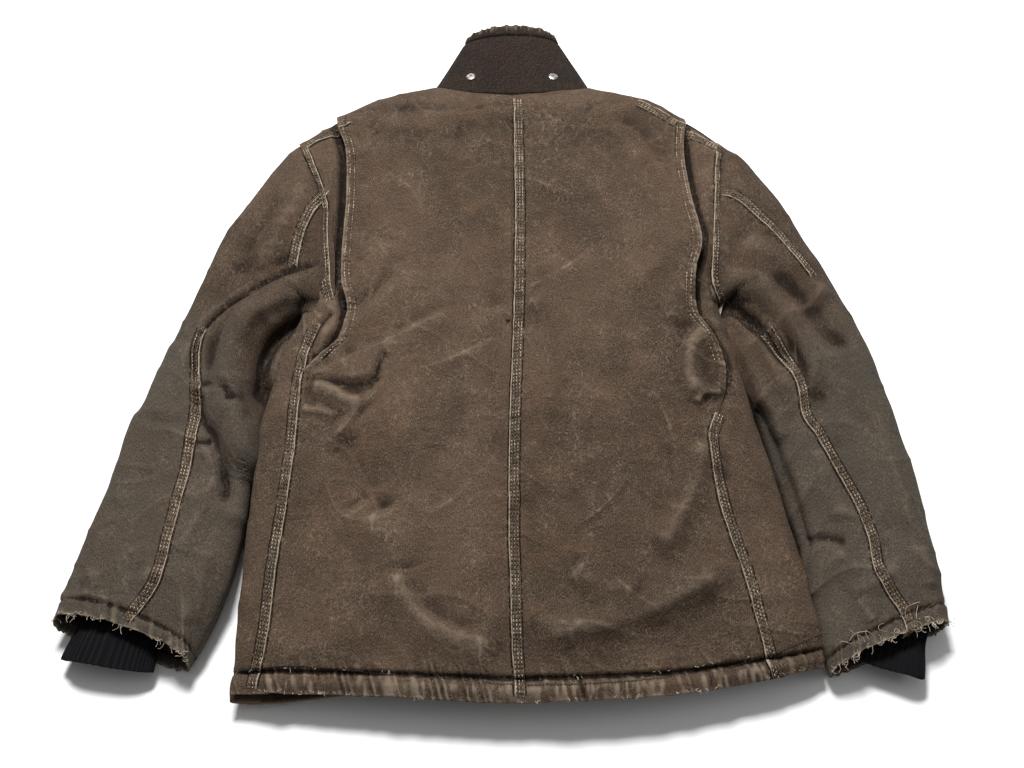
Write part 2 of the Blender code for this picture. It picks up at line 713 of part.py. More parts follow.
def zip_slider():
    """Two plates over and under the chain, joined by a neck between its halves, with a bail for the pull."""
    y, outer = slider_place()
    near, far = y - SLIDER_LENGTH / 2, y + SLIDER_LENGTH / 2
    plate = outer + SLIDER_PLATE
    top = CHAIN_MIDDLE + CHAIN_HEIGHT / 2 + SLIDER_CLEAR
    half = BAIL_SPAN / 2
    sunk = 0.0004
    pieces = [
        ((-SLIDER_HALF, near, outer), (SLIDER_HALF, far, plate)),
        ((-SLIDER_HALF, near, top), (SLIDER_HALF, far, top + SLIDER_PLATE)),
        ((-SLIDER_NECK_HALF, far - 0.004, plate - sunk), (SLIDER_NECK_HALF, far - 0.0005, top + sunk)),
        ((-BAIL_HALF, y - half, outer - BAIL_DROP), (BAIL_HALF, y - half + BAIL_WIRE, outer + sunk)),
        ((-BAIL_HALF, y + half - BAIL_WIRE, outer - BAIL_DROP), (BAIL_HALF, y + half, outer + sunk)),
        ((-BAIL_HALF, y - half, outer - BAIL_DROP), (BAIL_HALF, y + half, outer - BAIL_DROP + BAIL_WIRE)),
    ]
    joined_boxes("zip_slider", pieces, BRASS)


def zip_pull():
    """A tab on two arms, with a pin through the slider's bail."""
    y, outer = slider_place()
    z = outer - PIN_BELOW
    half = PULL_THICK / 2
    arm_in, arm_out = BAIL_HALF + 0.0004, PULL_HALF
    reach = BAIL_SPAN / 2 + 0.0015
    pieces = [
        ((-PULL_HALF, y - PULL_LENGTH, z - half), (PULL_HALF, y - reach, z + half)),
        ((arm_in, y - reach - 0.001, z - half), (arm_out, y + PULL_PIN_RADIUS, z + half)),
        ((-arm_out, y - reach - 0.001, z - half), (-arm_in, y + PULL_PIN_RADIUS, z + half)),
        ((-arm_out + 0.0002, y - PULL_PIN_RADIUS, z - 0.0005), (arm_out - 0.0002, y + 0.0005, z + 0.0005)),
    ]
    joined_boxes("zip_pull", pieces, BRASS)


# ---------------------------------------------------------------- pockets, flaps and loop
def patch_pocket(name, side, x, up, width, height, lift):
    """A patch with turned-in edges on three sides, open at its upper edge."""
    ceiling = FRONT_LIFT - LAYER_GAP
    low_x, high_x = sorted((side * (x - width / 2), side * (x + width / 2)))
    near, far = up_to_y(up - height / 2), up_to_y(up + height / 2)
    wall = POCKET_CLOTH
    patch = box_part(name, (low_x, near, lift), (high_x, far, ceiling), CLOTH)
    cut_low = (low_x + wall, near + wall, lift + wall)
    combine(patch, cut_low, (high_x - wall, far + wall, ceiling + wall), "DIFFERENCE")


def chest_flap(side, name):
    """A flap hinged above the pocket's mouth, stepping down over the patch."""
    pocket = CHEST_POCKET
    mouth = up_to_y(pocket["up"] + pocket["height"] / 2)
    hinge = mouth + FLAP_RISE
    high = FRONT_LIFT - LAYER_GAP
    low = FLAP_FLOOR
    outline = [
        (hinge, high), (hinge, high - FLAP_CLOTH), (mouth + 0.004, low),
        (hinge - FLAP_DROP, low), (hinge - FLAP_DROP, low + FLAP_CLOTH),
        (mouth + 0.006, low + FLAP_CLOTH), (hinge - 0.003, high),
    ]
    reach = pocket["width"] / 2 + FLAP_OVERHANG
    x0, x1 = sorted((side * (pocket["x"] - reach), side * (pocket["x"] + reach)))
    extruded(name, outline, x0, x1, CLOTH)


def wind_flap():
    """A flap inside the zip, hinged along the wearer's left front edge."""
    low = FRONT_LIFT + LINING_FACE + LAYER_GAP
    near, far = up_to_y(ZIP_FOOT_UP + 0.004), up_to_y(ZIP_TOP_UP - 0.004)
    corner = (-WIND_FLAP_HALF, near, low)
    box_part("wind_flap", corner, (WIND_FLAP_HALF - 0.004, far, low + WIND_FLAP), CLOTH)


def inner_pocket():
    pocket = INNER_POCKET
    low = FRONT_LIFT + LINING_FACE + INNER_POCKET_SEAT
    x0, x1 = -pocket["x"] - pocket["width"] / 2, -pocket["x"] + pocket["width"] / 2
    near, far = up_to_y(pocket["up"] - pocket["height"] / 2), up_to_y(pocket["up"] + pocket["height"] / 2)
    box_part("inner_pocket", (x0, near, low), (x1, far, low + POCKET_CLOTH), QUILTED)


def hanger_loop():
    """A short tape under the back neck, fixed at both ends and sagging between them."""

    def point(u, along, face):
        up = BACK_LENGTH - 0.014 - LOOP_WIDTH * along
        x = blend(-LOOP_HALF, LOOP_HALF, u)
        seat = body_point(up, 90.0, LINING_FACE + LAYER_GAP).z
        sag = LOOP_SAG * math.sin(math.pi * u)
        edge = body_point(up, angle_at(up, abs(x)), LINING_FACE + LAYER_GAP).z
        z = min(seat, edge) - 0.0006 - sag - face * LOOP_THICK
        return Vector((x, up_to_y(up), z))

    slab("hanger_loop", point, 10, [0.0, 1.0], TAPE_CLOTH)


def build():
    clear_scene()
    for side, word in ((-1, "left"), (1, "right")):
        shell(side, word)
        lining_back(side, f"lining_back_{word}")
        lining_side(side, f"lining_side_{word}")
        lining_front(side, f"lining_front_{word}")
        sleeve(side, word)
        knit_cuff(side, f"knit_cuff_{word}")
        patch_pocket(f"lower_pocket_{word}", side, **LOWER_POCKET)
        patch_pocket(f"chest_pocket_{word}", side, **CHEST_POCKET)
        chest_flap(side, f"chest_flap_{word}")
        snap_half(f"hood_snap_{word}", side * SNAP_OUT, outside=True)
        snap_half(f"hood_snap_back_{word}", side * SNAP_OUT, outside=False)
    collar()
    zip_fastener()
    zip_slider()
    zip_pull()
    wind_flap()
    inner_pocket()
    hanger_loop()


build()
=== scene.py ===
"""A worn canvas work jacket that lies face down: cloth, folds, seams, lining, knit and metal."""

import math

import bmesh
import bpy
import numpy as np
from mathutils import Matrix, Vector
from mathutils.bvhtree import BVHTree


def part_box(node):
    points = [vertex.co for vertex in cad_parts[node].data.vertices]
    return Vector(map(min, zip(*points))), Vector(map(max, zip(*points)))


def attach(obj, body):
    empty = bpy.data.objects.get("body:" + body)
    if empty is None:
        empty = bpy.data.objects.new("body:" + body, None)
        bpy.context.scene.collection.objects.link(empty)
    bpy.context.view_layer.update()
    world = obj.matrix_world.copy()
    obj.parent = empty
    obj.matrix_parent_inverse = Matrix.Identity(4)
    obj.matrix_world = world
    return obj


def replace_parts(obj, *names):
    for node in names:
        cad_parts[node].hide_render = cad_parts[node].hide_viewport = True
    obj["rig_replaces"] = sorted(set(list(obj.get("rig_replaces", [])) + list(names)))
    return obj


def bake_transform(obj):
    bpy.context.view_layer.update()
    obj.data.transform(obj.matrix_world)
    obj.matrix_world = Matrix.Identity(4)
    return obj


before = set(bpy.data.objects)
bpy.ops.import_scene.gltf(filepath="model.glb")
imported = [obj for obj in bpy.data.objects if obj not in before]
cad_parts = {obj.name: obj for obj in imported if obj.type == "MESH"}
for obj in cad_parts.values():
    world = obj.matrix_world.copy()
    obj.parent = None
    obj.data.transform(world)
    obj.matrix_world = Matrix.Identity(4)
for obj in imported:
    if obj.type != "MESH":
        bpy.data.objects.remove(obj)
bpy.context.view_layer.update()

FINE = 0.0017  # spacing of the points of the outer cloth
HEM_Y = -0.438
NECK_SIDE = 0.342
BACK_NECK = 0.310
FRONT_NECK = 0.257
NECK_HALF = 0.098
FRONT_Z = 0.011  # level of the front's outer face
ARMPIT_Y = 0.023
SHOULDER_Y = 0.248
SIDES = ((-1, "left"), (1, "right"))
WORD = dict(SIDES)
BACK_ROUND, FRONT_ROUND = 2.6, 6.0  # powers of the rounded section, behind and in front
HEM_TUCK = 0.020  # cloth turned in at the hem
TURN = 0.0018  # radius of a turned edge
MOUTH_TURN = 0.0016  # and of the sleeve's mouth
LOWEST = 0.0003  # small pieces stay above this height
FRONT_LOWEST = 0.0104
COLLAR_SEAT = 0.0007
COLLAR_TOP_Y = 0.438
COLLAR_TOP_HALF = 0.056
SHARP_FOLDS = 13  # the first rows of BACK_FOLDS are creases


# ---------------------------------------------------------------- curves and fields
def spline(points, count):
    """A smooth curve through points, as evenly spaced samples."""
    p = np.array(points, float)
    p = np.vstack([2 * p[0] - p[1], p, 2 * p[-1] - p[-2]])
    out = []
    for k in range(1, len(p) - 2):
        s = np.linspace(0, 1, 24, endpoint=False)[:, None]
        a, b, c, d = p[k - 1], p[k], p[k + 1], p[k + 2]
        out.append(
            0.5
            * (2 * b + (c - a) * s + (2 * a - 5 * b + 4 * c - d) * s**2 + (3 * b - a - 3 * c + d) * s**3)
        )
    out = np.vstack(out + [p[-2:-1]])
    run = np.concatenate([[0], np.cumsum(np.linalg.norm(np.diff(out, axis=0), axis=1))])
    at = np.linspace(0, run[-1], count)
    return np.stack([np.interp(at, run, out[:, k]) for k in range(out.shape[1])], 1)


def table(pairs):
    """A smooth function through (position, value) pairs."""
    fine = spline(sorted(pairs), 400)
    return lambda at: np.interp(at, fine[:, 0], fine[:, 1])


def smooth(low, high, at):
    """0 at low, 1 at high, and a smooth step between them."""
    t = np.clip((at - low) / (high - low), 0, 1)
    return t * t * (3 - 2 * t)


def hump(at, middle, width):
    """A rounded bump: 1 at the middle, and near 0 beyond twice the width."""
    return np.exp(-(((at - middle) / width) ** 2))


def field(x, y, size, seed):
    """Smooth random values from -1 to 1 with bumps about size across."""
    lattice = np.random.default_rng(seed).uniform(-1, 1, (64, 64))
    gx, gy = x / size + 1000.5, y / size + 1000.5
    ix, iy = np.floor(gx).astype(int), np.floor(gy).astype(int)
    fx, fy = gx - ix, gy - iy
    fx, fy = fx * fx * (3 - 2 * fx), fy * fy * (3 - 2 * fy)

    def at(i, j):
        return lattice[i % 64, j % 64]

    low = at(ix, iy) * (1 - fx) + at(ix + 1, iy) * fx
    high = at(ix, iy + 1) * (1 - fx) + at(ix + 1, iy + 1) * fx
    return low * (1 - fy) + high * fy


def crumple(x, y, size, seed):
    """Sharp-crested random folds, from 0 to 1."""
    warp = size * 0.7
    wx = x + warp * field(x, y, size * 1.7, seed + 1)
    wy = y + warp * field(x, y, size * 1.7, seed + 2)
    return (1 - np.abs(field(wx, wy, size, seed))) ** 3


def nearest(x, y, line):
    """Distance, share along, and side (positive to the left) of a plan curve."""
    gap = np.empty(x.shape)
    share = np.empty(x.shape)
    side = np.empty(x.shape)
    tangent = np.gradient(line, axis=0)
    for low in range(0, len(x), 20000):
        cut = slice(low, low + 20000)
        dx = x[cut, None] - line[None, :, 0]
        dy = y[cut, None] - line[None, :, 1]
        d = dx * dx + dy * dy
        k = d.argmin(1)
        row = np.arange(len(k))
        gap[cut] = np.sqrt(d[row, k])
        share[cut] = k / (len(line) - 1)
        side[cut] = tangent[k, 0] * dy[row, k] - tangent[k, 1] * dx[row, k]
    return gap, share, np.sign(side)


def fold(x, y, points, height, left, right, ends=(0.15, 0.15)):
    """A fold along a plan curve in millimetres, with a slope's width on each side of it."""
    line = spline(np.array(points) / 1000, 90)
    gap, share, side = nearest(x, y, line)
    width = np.where(side > 0, left, right) / 1000
    fade = smooth(0, max(ends[0], 1e-3), share) * smooth(0, max(ends[1], 1e-3), 1 - share)
    return height / 1000 * np.exp(-((gap / width) ** 2)) * fade


# ---------------------------------------------------------------- meshes
def finished(mesh, name, look, body="jacket"):
    name = f"{name}_cloth" if name in bpy.data.objects else name
    obj = bpy.data.objects.new(name, mesh)
    bpy.context.scene.collection.objects.link(obj)
    mesh.materials.clear()
    mesh.materials.append(look)
    if body:
        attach(obj, body)
    return obj


def cloth(name, columns, rows, shape, look, outward=(0, 0, 1), body="jacket"):
    """A sheet from a grid. shape(u, v) gives points, and may give a dict of values for each point."""
    bm = bmesh.new()
    bmesh.ops.create_grid(bm, x_segments=columns, y_segments=rows, size=0.5)
    mesh = bpy.data.meshes.new(name)
    bm.to_mesh(mesh)
    bm.free()
    n = len(mesh.vertices)
    co = np.empty(n * 3)
    mesh.vertices.foreach_get("co", co)
    co = co.reshape(-1, 3)
    u, v = np.round(co[:, 0] + 0.5, 6), np.round(co[:, 1] + 0.5, 6)
    made = shape(u, v)
    points, values = made if isinstance(made, tuple) else (made, {})
    order = np.lexsort((u, v))
    sheet = points[order].reshape(rows + 1, columns + 1, 3)
    across = np.concatenate(
        [np.zeros((rows + 1, 1)), np.cumsum(np.linalg.norm(np.diff(sheet, axis=1), axis=2), axis=1)], axis=1
    )
    along = np.concatenate(
        [np.zeros((1, columns + 1)), np.cumsum(np.linalg.norm(np.diff(sheet, axis=0), axis=2),
                                               axis=0)], axis=0
    )
    uv = np.empty((n, 2))
    uv[order, 0] = across.ravel()
    uv[order, 1] = np.broadcast_to(along.mean(1)[:, None], along.shape).ravel()
    mesh.vertices.foreach_set("co", points.ravel())
    loops = np.empty(len(mesh.loops), int)
    mesh.loops.foreach_get("vertex_index", loops)
    layer = mesh.uv_layers.new(name="cloth") if not mesh.uv_layers else mesh.uv_layers[0]
    layer.data.foreach_set("uv", uv[loops].astype(np.float32).ravel())
    # Bending of the sheet at three reaches: paler on crests where the canvas is rubbed, darker in hollows as
    # painted shade.
    bend = np.zeros(sheet.shape[:2])
    for reach, gain in ((2, 1.0), (6, 0.9), (14, 0.7)):
        if min(rows, columns) < 3 * reach:
            continue
        pad = np.pad(sheet, ((reach, reach), (reach, reach), (0, 0)), mode="edge")
        mean = (
            pad[2 * reach :, reach:-reach] + pad[: -2 * reach, reach:-reach]
            + pad[reach:-reach, 2 * reach :] + pad[reach:-reach, : -2 * reach]
        ) / 4
        bend += gain * ((sheet - mean) @ np.array(outward, float)) / (reach * FINE)
    rubbing_and_shade = np.empty(n)
    rubbing_and_shade[order] = bend.ravel()
    values = dict(values)
    values["rubbing_and_shade"] = np.clip(values.get("rubbing_and_shade", 0) + np.tanh(rubbing_and_shade * 2.2) * 0.60, -1, 1)
    for key, value in values.items():
        attribute = mesh.attributes.new(key, "FLOAT", "POINT")
        attribute.data.foreach_set("value", np.broadcast_to(value, n).astype(np.float32))
    mesh.update()
    normals = np.empty(len(mesh.polygons) * 3)
    mesh.polygons.foreach_get("normal", normals)
    if (normals.reshape(-1, 3) @ np.array(outward, float)).sum() < 0:
        mesh.flip_normals()
    mesh.shade_smooth()
    return finished(mesh, name, look, body)


def tree(*objects):
    """A search tree of several meshes, to lay other pieces on."""
    verts, faces = [], []
    for obj in objects:
        base = len(verts)
        verts += [v.co.copy() for v in obj.data.vertices]
        faces += [[base + i for i in p.vertices] for p in obj.data.polygons]
    return BVHTree.FromPolygons(verts, faces)


def drop(bvh, x, y, fallback=0.05, up=True):
    """The point of the surface straight below (or above) a plan position, with its normal."""
    start = Vector((x, y, 0.3 if up else -0.3))
    hit, normal, _, _ = bvh.ray_cast(start, Vector((0, 0, -1 if up else 1)))
    if hit is None:
        near, normal, _, _ = bvh.find_nearest(Vector((x, y, fallback)))
        hit = near
    if (normal.z < 0) == up:
        normal = -normal
    return hit, normal


def band(name, line, across, lift, rubbing_and_shade_across, bvh, look, body="jacket", step=0.0013, up=True):
    """A seam laid on the cloth: offsets from a plan curve in millimetres, their heights, and how rubbed pale
    each is, with negative values as painted shade.
    """
    length = np.linalg.norm(np.diff(spline(line, 200), axis=0), axis=1).sum() / 1000
    rows, columns = max(8, int(length / step)), 30
    path = spline(np.array(line) / 1000, rows + 1)
    tangent = np.gradient(path, axis=0)
    tangent /= np.linalg.norm(tangent, axis=1)[:, None]
    left = np.stack([-tangent[:, 1], tangent[:, 0]], 1)
    run = np.linspace(0, length, rows + 1)
    seed = len(name) + int(abs(line[0][0]))
    wander = 0.0007 * field(run, run * 0, 0.05, seed) + 0.0004 * field(run, run * 0, 0.012, seed + 1)
    pucker = ripple(run, seed, 0.010) + 0.6 * ripple(run, seed + 5, 0.021)
    path = path + left * wander[:, None]
    at = np.linspace(across[0], across[-1], columns + 1)
    high, pale = np.interp(at, across, lift), np.interp(at, across, rubbing_and_shade_across)

    def shape(u, v):
        points, rubbing_and_shade = np.empty((len(u), 3)), np.empty(len(u))
        level = {}
        for k in range(len(u)):
            row, col = round(v[k] * rows), round(u[k] * columns)
            plan = path[row] + left[row] * at[col] / 1000
            hit, normal = drop(bvh, plan[0], plan[1], level.get(row, 0.05), up)
            level[row] = hit.z
            inner = 1 - (2 * u[k] - 1) ** 6
            there = min(1.0, min(run[row], length - run[row]) / 0.006)
            rise = high[col] * there - 1.0 * (1 - there)
            points[k] = hit + normal * (rise / 1000 + 0.0007 * pucker[row] * inner)
            # Pale where the seam is rubbed, darker in its stitch grooves and along its edges as painted
            # shade; the whole band a little darker.
            rubbing_and_shade[k] = pale[col] * (0.7 + 0.45 * pucker[row]) - 0.20
        points[:, 2] = np.maximum(points[:, 2], LOWEST)
        return points, {"rubbing_and_shade": rubbing_and_shade}

    return cloth(name, columns, rows, shape, look, (0, 0, 1 if up else -1), body)


# ---------------------------------------------------------------- shape of the body
EDGES = {
    -1: [(-0.44, 0.288), (-0.398, 0.287), (-0.306, 0.284), (-0.18, 0.280), (-0.119, 0.277), (-0.06, 0.262)],
    1: [(-0.42, 0.322), (-0.383, 0.320), (-0.303, 0.308), (-0.194, 0.286), (-0.121, 0.268), (-0.06, 0.256)],
}
SHOULDER = [(0.248, 0.262), (0.286, 0.219), (0.318, 0.165), (0.342, 0.098)]
BELOW = {side: table(EDGES[side] + [(ARMPIT_Y, 0.236)]) for side in (-1, 1)}
ABOVE = table(SHOULDER)
TOPS = table([(-0.44, 0.041), (-0.36, 0.054), (-0.28, 0.066), (-0.13, 0.0785), (0.02, 0.083),
              (0.248, 0.0795), (0.31, 0.076), (0.342, 0.064)])
BOW = table([(-0.33, 0.014), (-0.213, 0.011), (-0.113, 0.006), (0.0, 0.0), (0.139, 0.006), (0.24, 0.022),
             (0.34, 0.047)])
PANEL_EDGE = {
    -1: [(0.40, 0.213), (0.285, 0.212), (0.256, 0.208), (0.219, 0.198), (0.153, 0.194), (0.083, 0.195),
         (0.042, 0.194), (0.015, 0.187), (-0.008, 0.186), (-0.037, 0.194), (-0.055, 0.213), (-0.080, 0.232),
         (-0.107, 0.236), (-0.156, 0.238), (-0.215, 0.242), (-0.294, 0.249), (-0.359, 0.254),
         (-0.44, 0.264)],
    1: [(0.40, 0.213), (0.285, 0.212), (0.264, 0.210), (0.211, 0.206), (0.153, 0.210), (0.090, 0.218),
        (0.049, 0.208), (0.002, 0.207), (-0.025, 0.222), (-0.060, 0.234), (-0.094, 0.235), (-0.124, 0.226),
        (-0.157, 0.217), (-0.216, 0.223), (-0.261, 0.233), (-0.311, 0.247), (-0.354, 0.257),
        (-0.44, 0.272)],
}
PANEL_EDGE = {side: table(pairs) for side, pairs in PANEL_EDGE.items()}
ARMHOLE = {
    -1: table([(0.265, 0.262), (0.228, 0.252), (0.176, 0.231), (0.140, 0.221), (0.105, 0.219),
               (0.068, 0.215), (0.037, 0.214), (0.0, 0.212)]),
    1: table([(0.265, 0.262), (0.234, 0.254), (0.184, 0.246), (0.112, 0.240), (0.057, 0.235),
              (0.037, 0.236), (0.0, 0.244)]),
}


def half_width(side, y):
    """Half width of the section; beside the armhole it runs on under the sleeve."""
    s = np.clip((y - ARMPIT_Y) / (SHOULDER_Y - ARMPIT_Y), 0, 1)
    straight = 0.236 + (0.262 - 0.236) * s
    beside = straight / (0.5 + 0.5 * np.abs(2 * s - 1) ** 1.5)
    return np.where(y < ARMPIT_Y, BELOW[side](y), np.where(y > SHOULDER_Y, ABOVE(y), beside))


def body_at(side, y, angle, depth=0.0):
    """Points on the body's wall: angle 90 is the middle of the back, 0 the side, -90 the middle front."""
    half, top = half_width(side, y), TOPS(y)
    a = np.radians(angle)
    power = np.where(a >= 0, BACK_ROUND, FRONT_ROUND)
    c, s = np.cos(a), np.sin(a)
    across = np.abs(c) ** (2 / power) * (half - depth)
    rise = np.sign(s) * np.abs(s) ** (2 / power) * ((top - FRONT_Z) / 2 - depth)
    low = np.clip((-0.14 - y) / 0.3, 0, 1) ** 2
    plan_y = y + BOW(side * across) * low
    inward = smooth(-0.28, -0.08, side * across)
    plan_y += np.where(s < 0, low * (0.018 * inward - 0.006 * (1 - inward)), 0.0)
    return np.stack([side * across, plan_y, (top + FRONT_Z) / 2 + rise], 1)


def angle_of(side, y, x, front=False):
    power = FRONT_ROUND if front else BACK_ROUND
    share = np.clip(x / half_width(side, y), 0, 1)
    angle = np.degrees(np.arccos(share ** (power / 2)))
    return -angle if front else angle


def neck_at(y, low):
    """Half width of the neck opening for a neckline whose middle is at low."""
    below = np.clip((NECK_SIDE - y) / (NECK_SIDE - low), 0, 1)
    return NECK_HALF * np.sqrt(1 - below**2)


def push(points, angle, side, amount):
    """Moves points outwards along the section."""
    a = np.radians(angle)
    steep = np.where(a >= 0, 1.23, 1.67)
    across, rise = np.abs(np.cos(a)) ** steep / 0.27, np.abs(np.sin(a)) ** steep / 0.036
    long = np.sqrt(across**2 + rise**2)
    points[:, 0] += side * across / long * amount
    points[:, 2] += np.sign(a) * rise / long * amount
    return points


# Folds of the back, in plan millimetres: curve, height, width to its left and to its right.
BACK_FOLDS = [
    ([(-140, -88), (-152, -106), (-168, -125), (-192, -158)], 1.5, 3, 7),
    ([(-104, -78), (-60, -60), (-12, -33)], 1.3, 3, 8),
    ([(-152, -92), (-146, -70), (-138, -54)], -2.6, 4, 7),
    ([(-232, -82), (-200, -90), (-172, -94), (-142, -88)], -2.4, 6, 12),
    ([(-30, 190), (20, 176), (78, 152)], 1.1, 4, 9),
    ([(8, 20), (60, 52), (112, 92)], 1.2, 4, 9),
    ([(-96, -250), (-60, -226), (-30, -190)], 1.2, 4, 9),
    ([(60, -262), (96, -236), (128, -196)], 1.2, 9, 4),
    ([(150, -96), (172, -150), (176, -214)], 1.3, 8, 4),
    ([(-150, 190), (-118, 160), (-100, 118)], 1.0, 4, 8),
    ([(-203, 8), (-218, -18), (-230, -46)], -3.0, 4, 5),
    ([(-193, -4), (-203, -28), (-220, -56)], 2.6, 4, 6),
    ([(-186, -14), (-196, -40), (-212, -64)], -2.2, 4, 5),
    ([(-236, -95), (-190, -70), (-140, -45), (-95, -20), (-60, 0)], 4.0, 9, 26),
    ([(-225, -40), (-175, -15), (-130, 30), (-110, 60)], 3.4, 12, 22),
    ([(-200, 20), (-165, 45), (-140, 95)], 2.5, 14, 16),
    ([(-232, -120), (-205, -126), (-190, -132)], 3.0, 5, 6),
    ([(-222, -96), (-200, -100), (-180, -112), (-160, -118)], 2.8, 8, 12),
    ([(-190, -150), (-165, -185), (-148, -225), (-135, -250)], -2.5, 22, 24),
    ([(-125, -300), (-110, -335), (-90, -360), (-50, -378), (-10, -384)], 3.6, 12, 24),
    ([(-170, -230), (-135, -270), (-118, -310)], 2.4, 18, 22),
    ([(18, -372), (70, -365), (130, -352), (190, -325), (225, -300)], 3.4, 22, 14),
    ([(60, -300), (90, -322), (130, -330)], 2.0, 14, 14),
    ([(205, -150), (195, -200), (170, -255), (150, -290)], 3.0, 14, 18),
    ([(222, -20), (200, -40), (195, -80), (205, -110)], 3.2, 14, 10),
    ([(232, -100), (210, -104), (200, -118)], 4.0, 4, 7),
    ([(215, 60), (185, 20), (180, -20)], 2.4, 14, 14),
    ([(50, 40), (100, 60), (160, 120)], 1.8, 16, 20),
    ([(-50, -35), (-10, -5), (40, 10)], 1.6, 10, 16),
    ([(-70, 270), (-20, 282), (10, 286)], 1.6, 5, 9),
    ([(-170, 260), (-110, 268), (-60, 262)], 2.0, 14, 18),
    ([(90, 285), (130, 255), (160, 200)], 1.8, 16, 14),
    ([(20, -20), (40, -90), (20, -170), (14, -240)], 2.2, 18, 26),
    ([(-10, 100), (-16, 0), (-20, -100), (-18, -200)], -1.6, 20, 14),
]
HEM_STITCH = [(-286, -399), (-277, -402), (-225, -399), (-153, -405), (-72, -414), (18, -421), (108, -418),
              (190, -406), (262, -388), (300, -372), (322, -362)]


def ripple(run, seed, size=0.011):
    """Uneven gathers along a sewn edge."""
    wander = run + 0.004 * field(run, run * 0, 0.03, seed)
    sharp = 1 - np.abs(field(wander, wander * 0 + seed, size * 0.5, seed + 3))
    return sharp**2 - 0.45


def back_relief(x, y, hem):
    """Height of the folds of the back's cloth. hem is the distance from the hem's edge."""
    out = 0.0030 * field(x, y, 0.16, 5) + 0.0018 * field(x, y, 0.07, 6) + 0.0005 * field(x, y, 0.025, 7)
    out += 0.0030 * crumple(x, y, 0.11, 8) * (0.5 + 0.5 * field(x, y, 0.2, 9))
    out += 0.0009 * crumple(x * 0.6, y, 0.035, 10) + 0.0005 * crumple(x, y, 0.014, 11)
    out += 0.0014 * crumple(x + 0.5 * y, y, 0.05, 12) ** 2
    for points, height, left, right in BACK_FOLDS:
        gain = 1.5 if left + right < 16 else 3.1 if points[-1][1] < -90 else 2.1
        out += fold(x, y, points, gain * height, left, right)
    gather = ripple(x + 0.3 * hem, 21, 0.013) * 0.0042 + ripple(x, 22, 0.026) * 0.0026
    out += gather * smooth(0.048, 0.018, hem) * smooth(-0.012, 0.004, hem)
    out -= (0.0052 + 0.0018 * ripple(x, 24, 0.009)) * hump(hem, 0.026, 0.0028)
    out += 0.0034 * hump(hem, 0.013, 0.0085)
    return out


def turned_hem(v, top):
    """Run from the hem's edge, height, and depth of the cloth that is turned in there."""
    run = -HEM_TUCK + v * (HEM_TUCK + top - HEM_Y)
    return run, HEM_Y + np.sqrt(run**2 + TURN**2) - TURN, 2 * TURN * smooth(0, -2 * TURN, run)


def recess(side, x, y):
    """Depth of the hollow between a pleat's folded edge and its gusset."""
    past = np.abs(x) - PANEL_EDGE[side](y)
    depth = {-1: 0.015, 1: 0.013}[side] * smooth(-0.07, 0.0, y) * smooth(0.285, 0.24, y)
    return depth * np.exp(-(((past - 0.002) / 0.0085) ** 4)) * (0.75 + 0.25 * field(y, y * 0, 0.05,
                                                                                    49 + side))


def back_panel(side, look):
    """From the centre seam to the pleat's folded edge, with the hem and that edge turned under."""
    columns, rows = int(0.275 / FINE), int(0.80 / FINE)

    def shape(u, v):
        run, y, under = turned_hem(v, NECK_SIDE - 0.0006)
        inner = np.where(y > BACK_NECK, neck_at(y, BACK_NECK), 0.0002)
        outer = np.minimum(PANEL_EDGE[side](y), half_width(side, y) * 0.9985)
        tuck = 0.010 * smooth(0.285, 0.262, y)
        p = (outer - inner + tuck) * (1 - u) - tuck
        x = outer - np.where(tuck > 1e-5, np.sqrt(p**2 + TURN**2) - TURN, p)
        x = np.where(u == 0, inner, x)
        under = np.maximum(under, 2 * TURN * smooth(0, -2 * TURN, p))
        pleat = smooth(-0.115, -0.06, y) * smooth(0.30, 0.27, y)
        angle = angle_of(side, y, np.maximum(x, 0))
        points = body_at(side, y, angle, 0.0)
        relief = back_relief(points[:, 0], y, np.maximum(run, 0))
        relief += 0.0042 * pleat * hump(p, 0, 0.013)
        relief += ripple(y, 31 + side) * 0.0020 * pleat * hump(p, 0.006, 0.007)
        relief -= 0.0012 * pleat * hump(p, 0.011, 0.0018)
        points = push(points, angle, side, relief - under)
        points[:, 2] -= np.maximum(points[:, 2] - 0.090, 0) * 0.7
        rubbing_and_shade = 0.55 * pleat * hump(p, 0, 0.004) + 0.5 * hump(run, 0, 0.006)
        # Along the hem: pale and darker in turns, for rubbed gathers with painted shade between them, then
        # painted shade along the stitch groove; the cloth is also darker towards the collar.
        pucker = 0.35 + 1.5 * ripple(points[:, 0], 25, 0.011)
        rubbing_and_shade += 0.62 * hump(run, 0.012, 0.008) * pucker
        rubbing_and_shade -= 0.9 * hump(run, 0.0262, 0.0022) + 0.20 * smooth(0.12, 0.27, y)
        # Paler along raised creases where rubbed, darker along sunken creases as painted shade.
        for line, height, *_ in BACK_FOLDS[:SHARP_FOLDS]:
            rubbing_and_shade += (0.20 if height > 0 else -0.38) * fold(points[:, 0], y, line, 1000, 1.0, 1.6,
                                                           (0.4, 0.4))
        patches = smooth(0.45, 0.85, 0.5 + 0.5 * field(points[:, 0], y, 0.11, 16))
        for size, seed in ((0.060, 15), (0.035, 17)):
            rubbing_and_shade += 0.24 * patches * smooth(0.86, 1.0, crumple(points[:, 0], y, size, seed))
        return points, {"rubbing_and_shade": rubbing_and_shade}

    return cloth(f"back_panel_{WORD[side]}", columns, rows, shape, look)


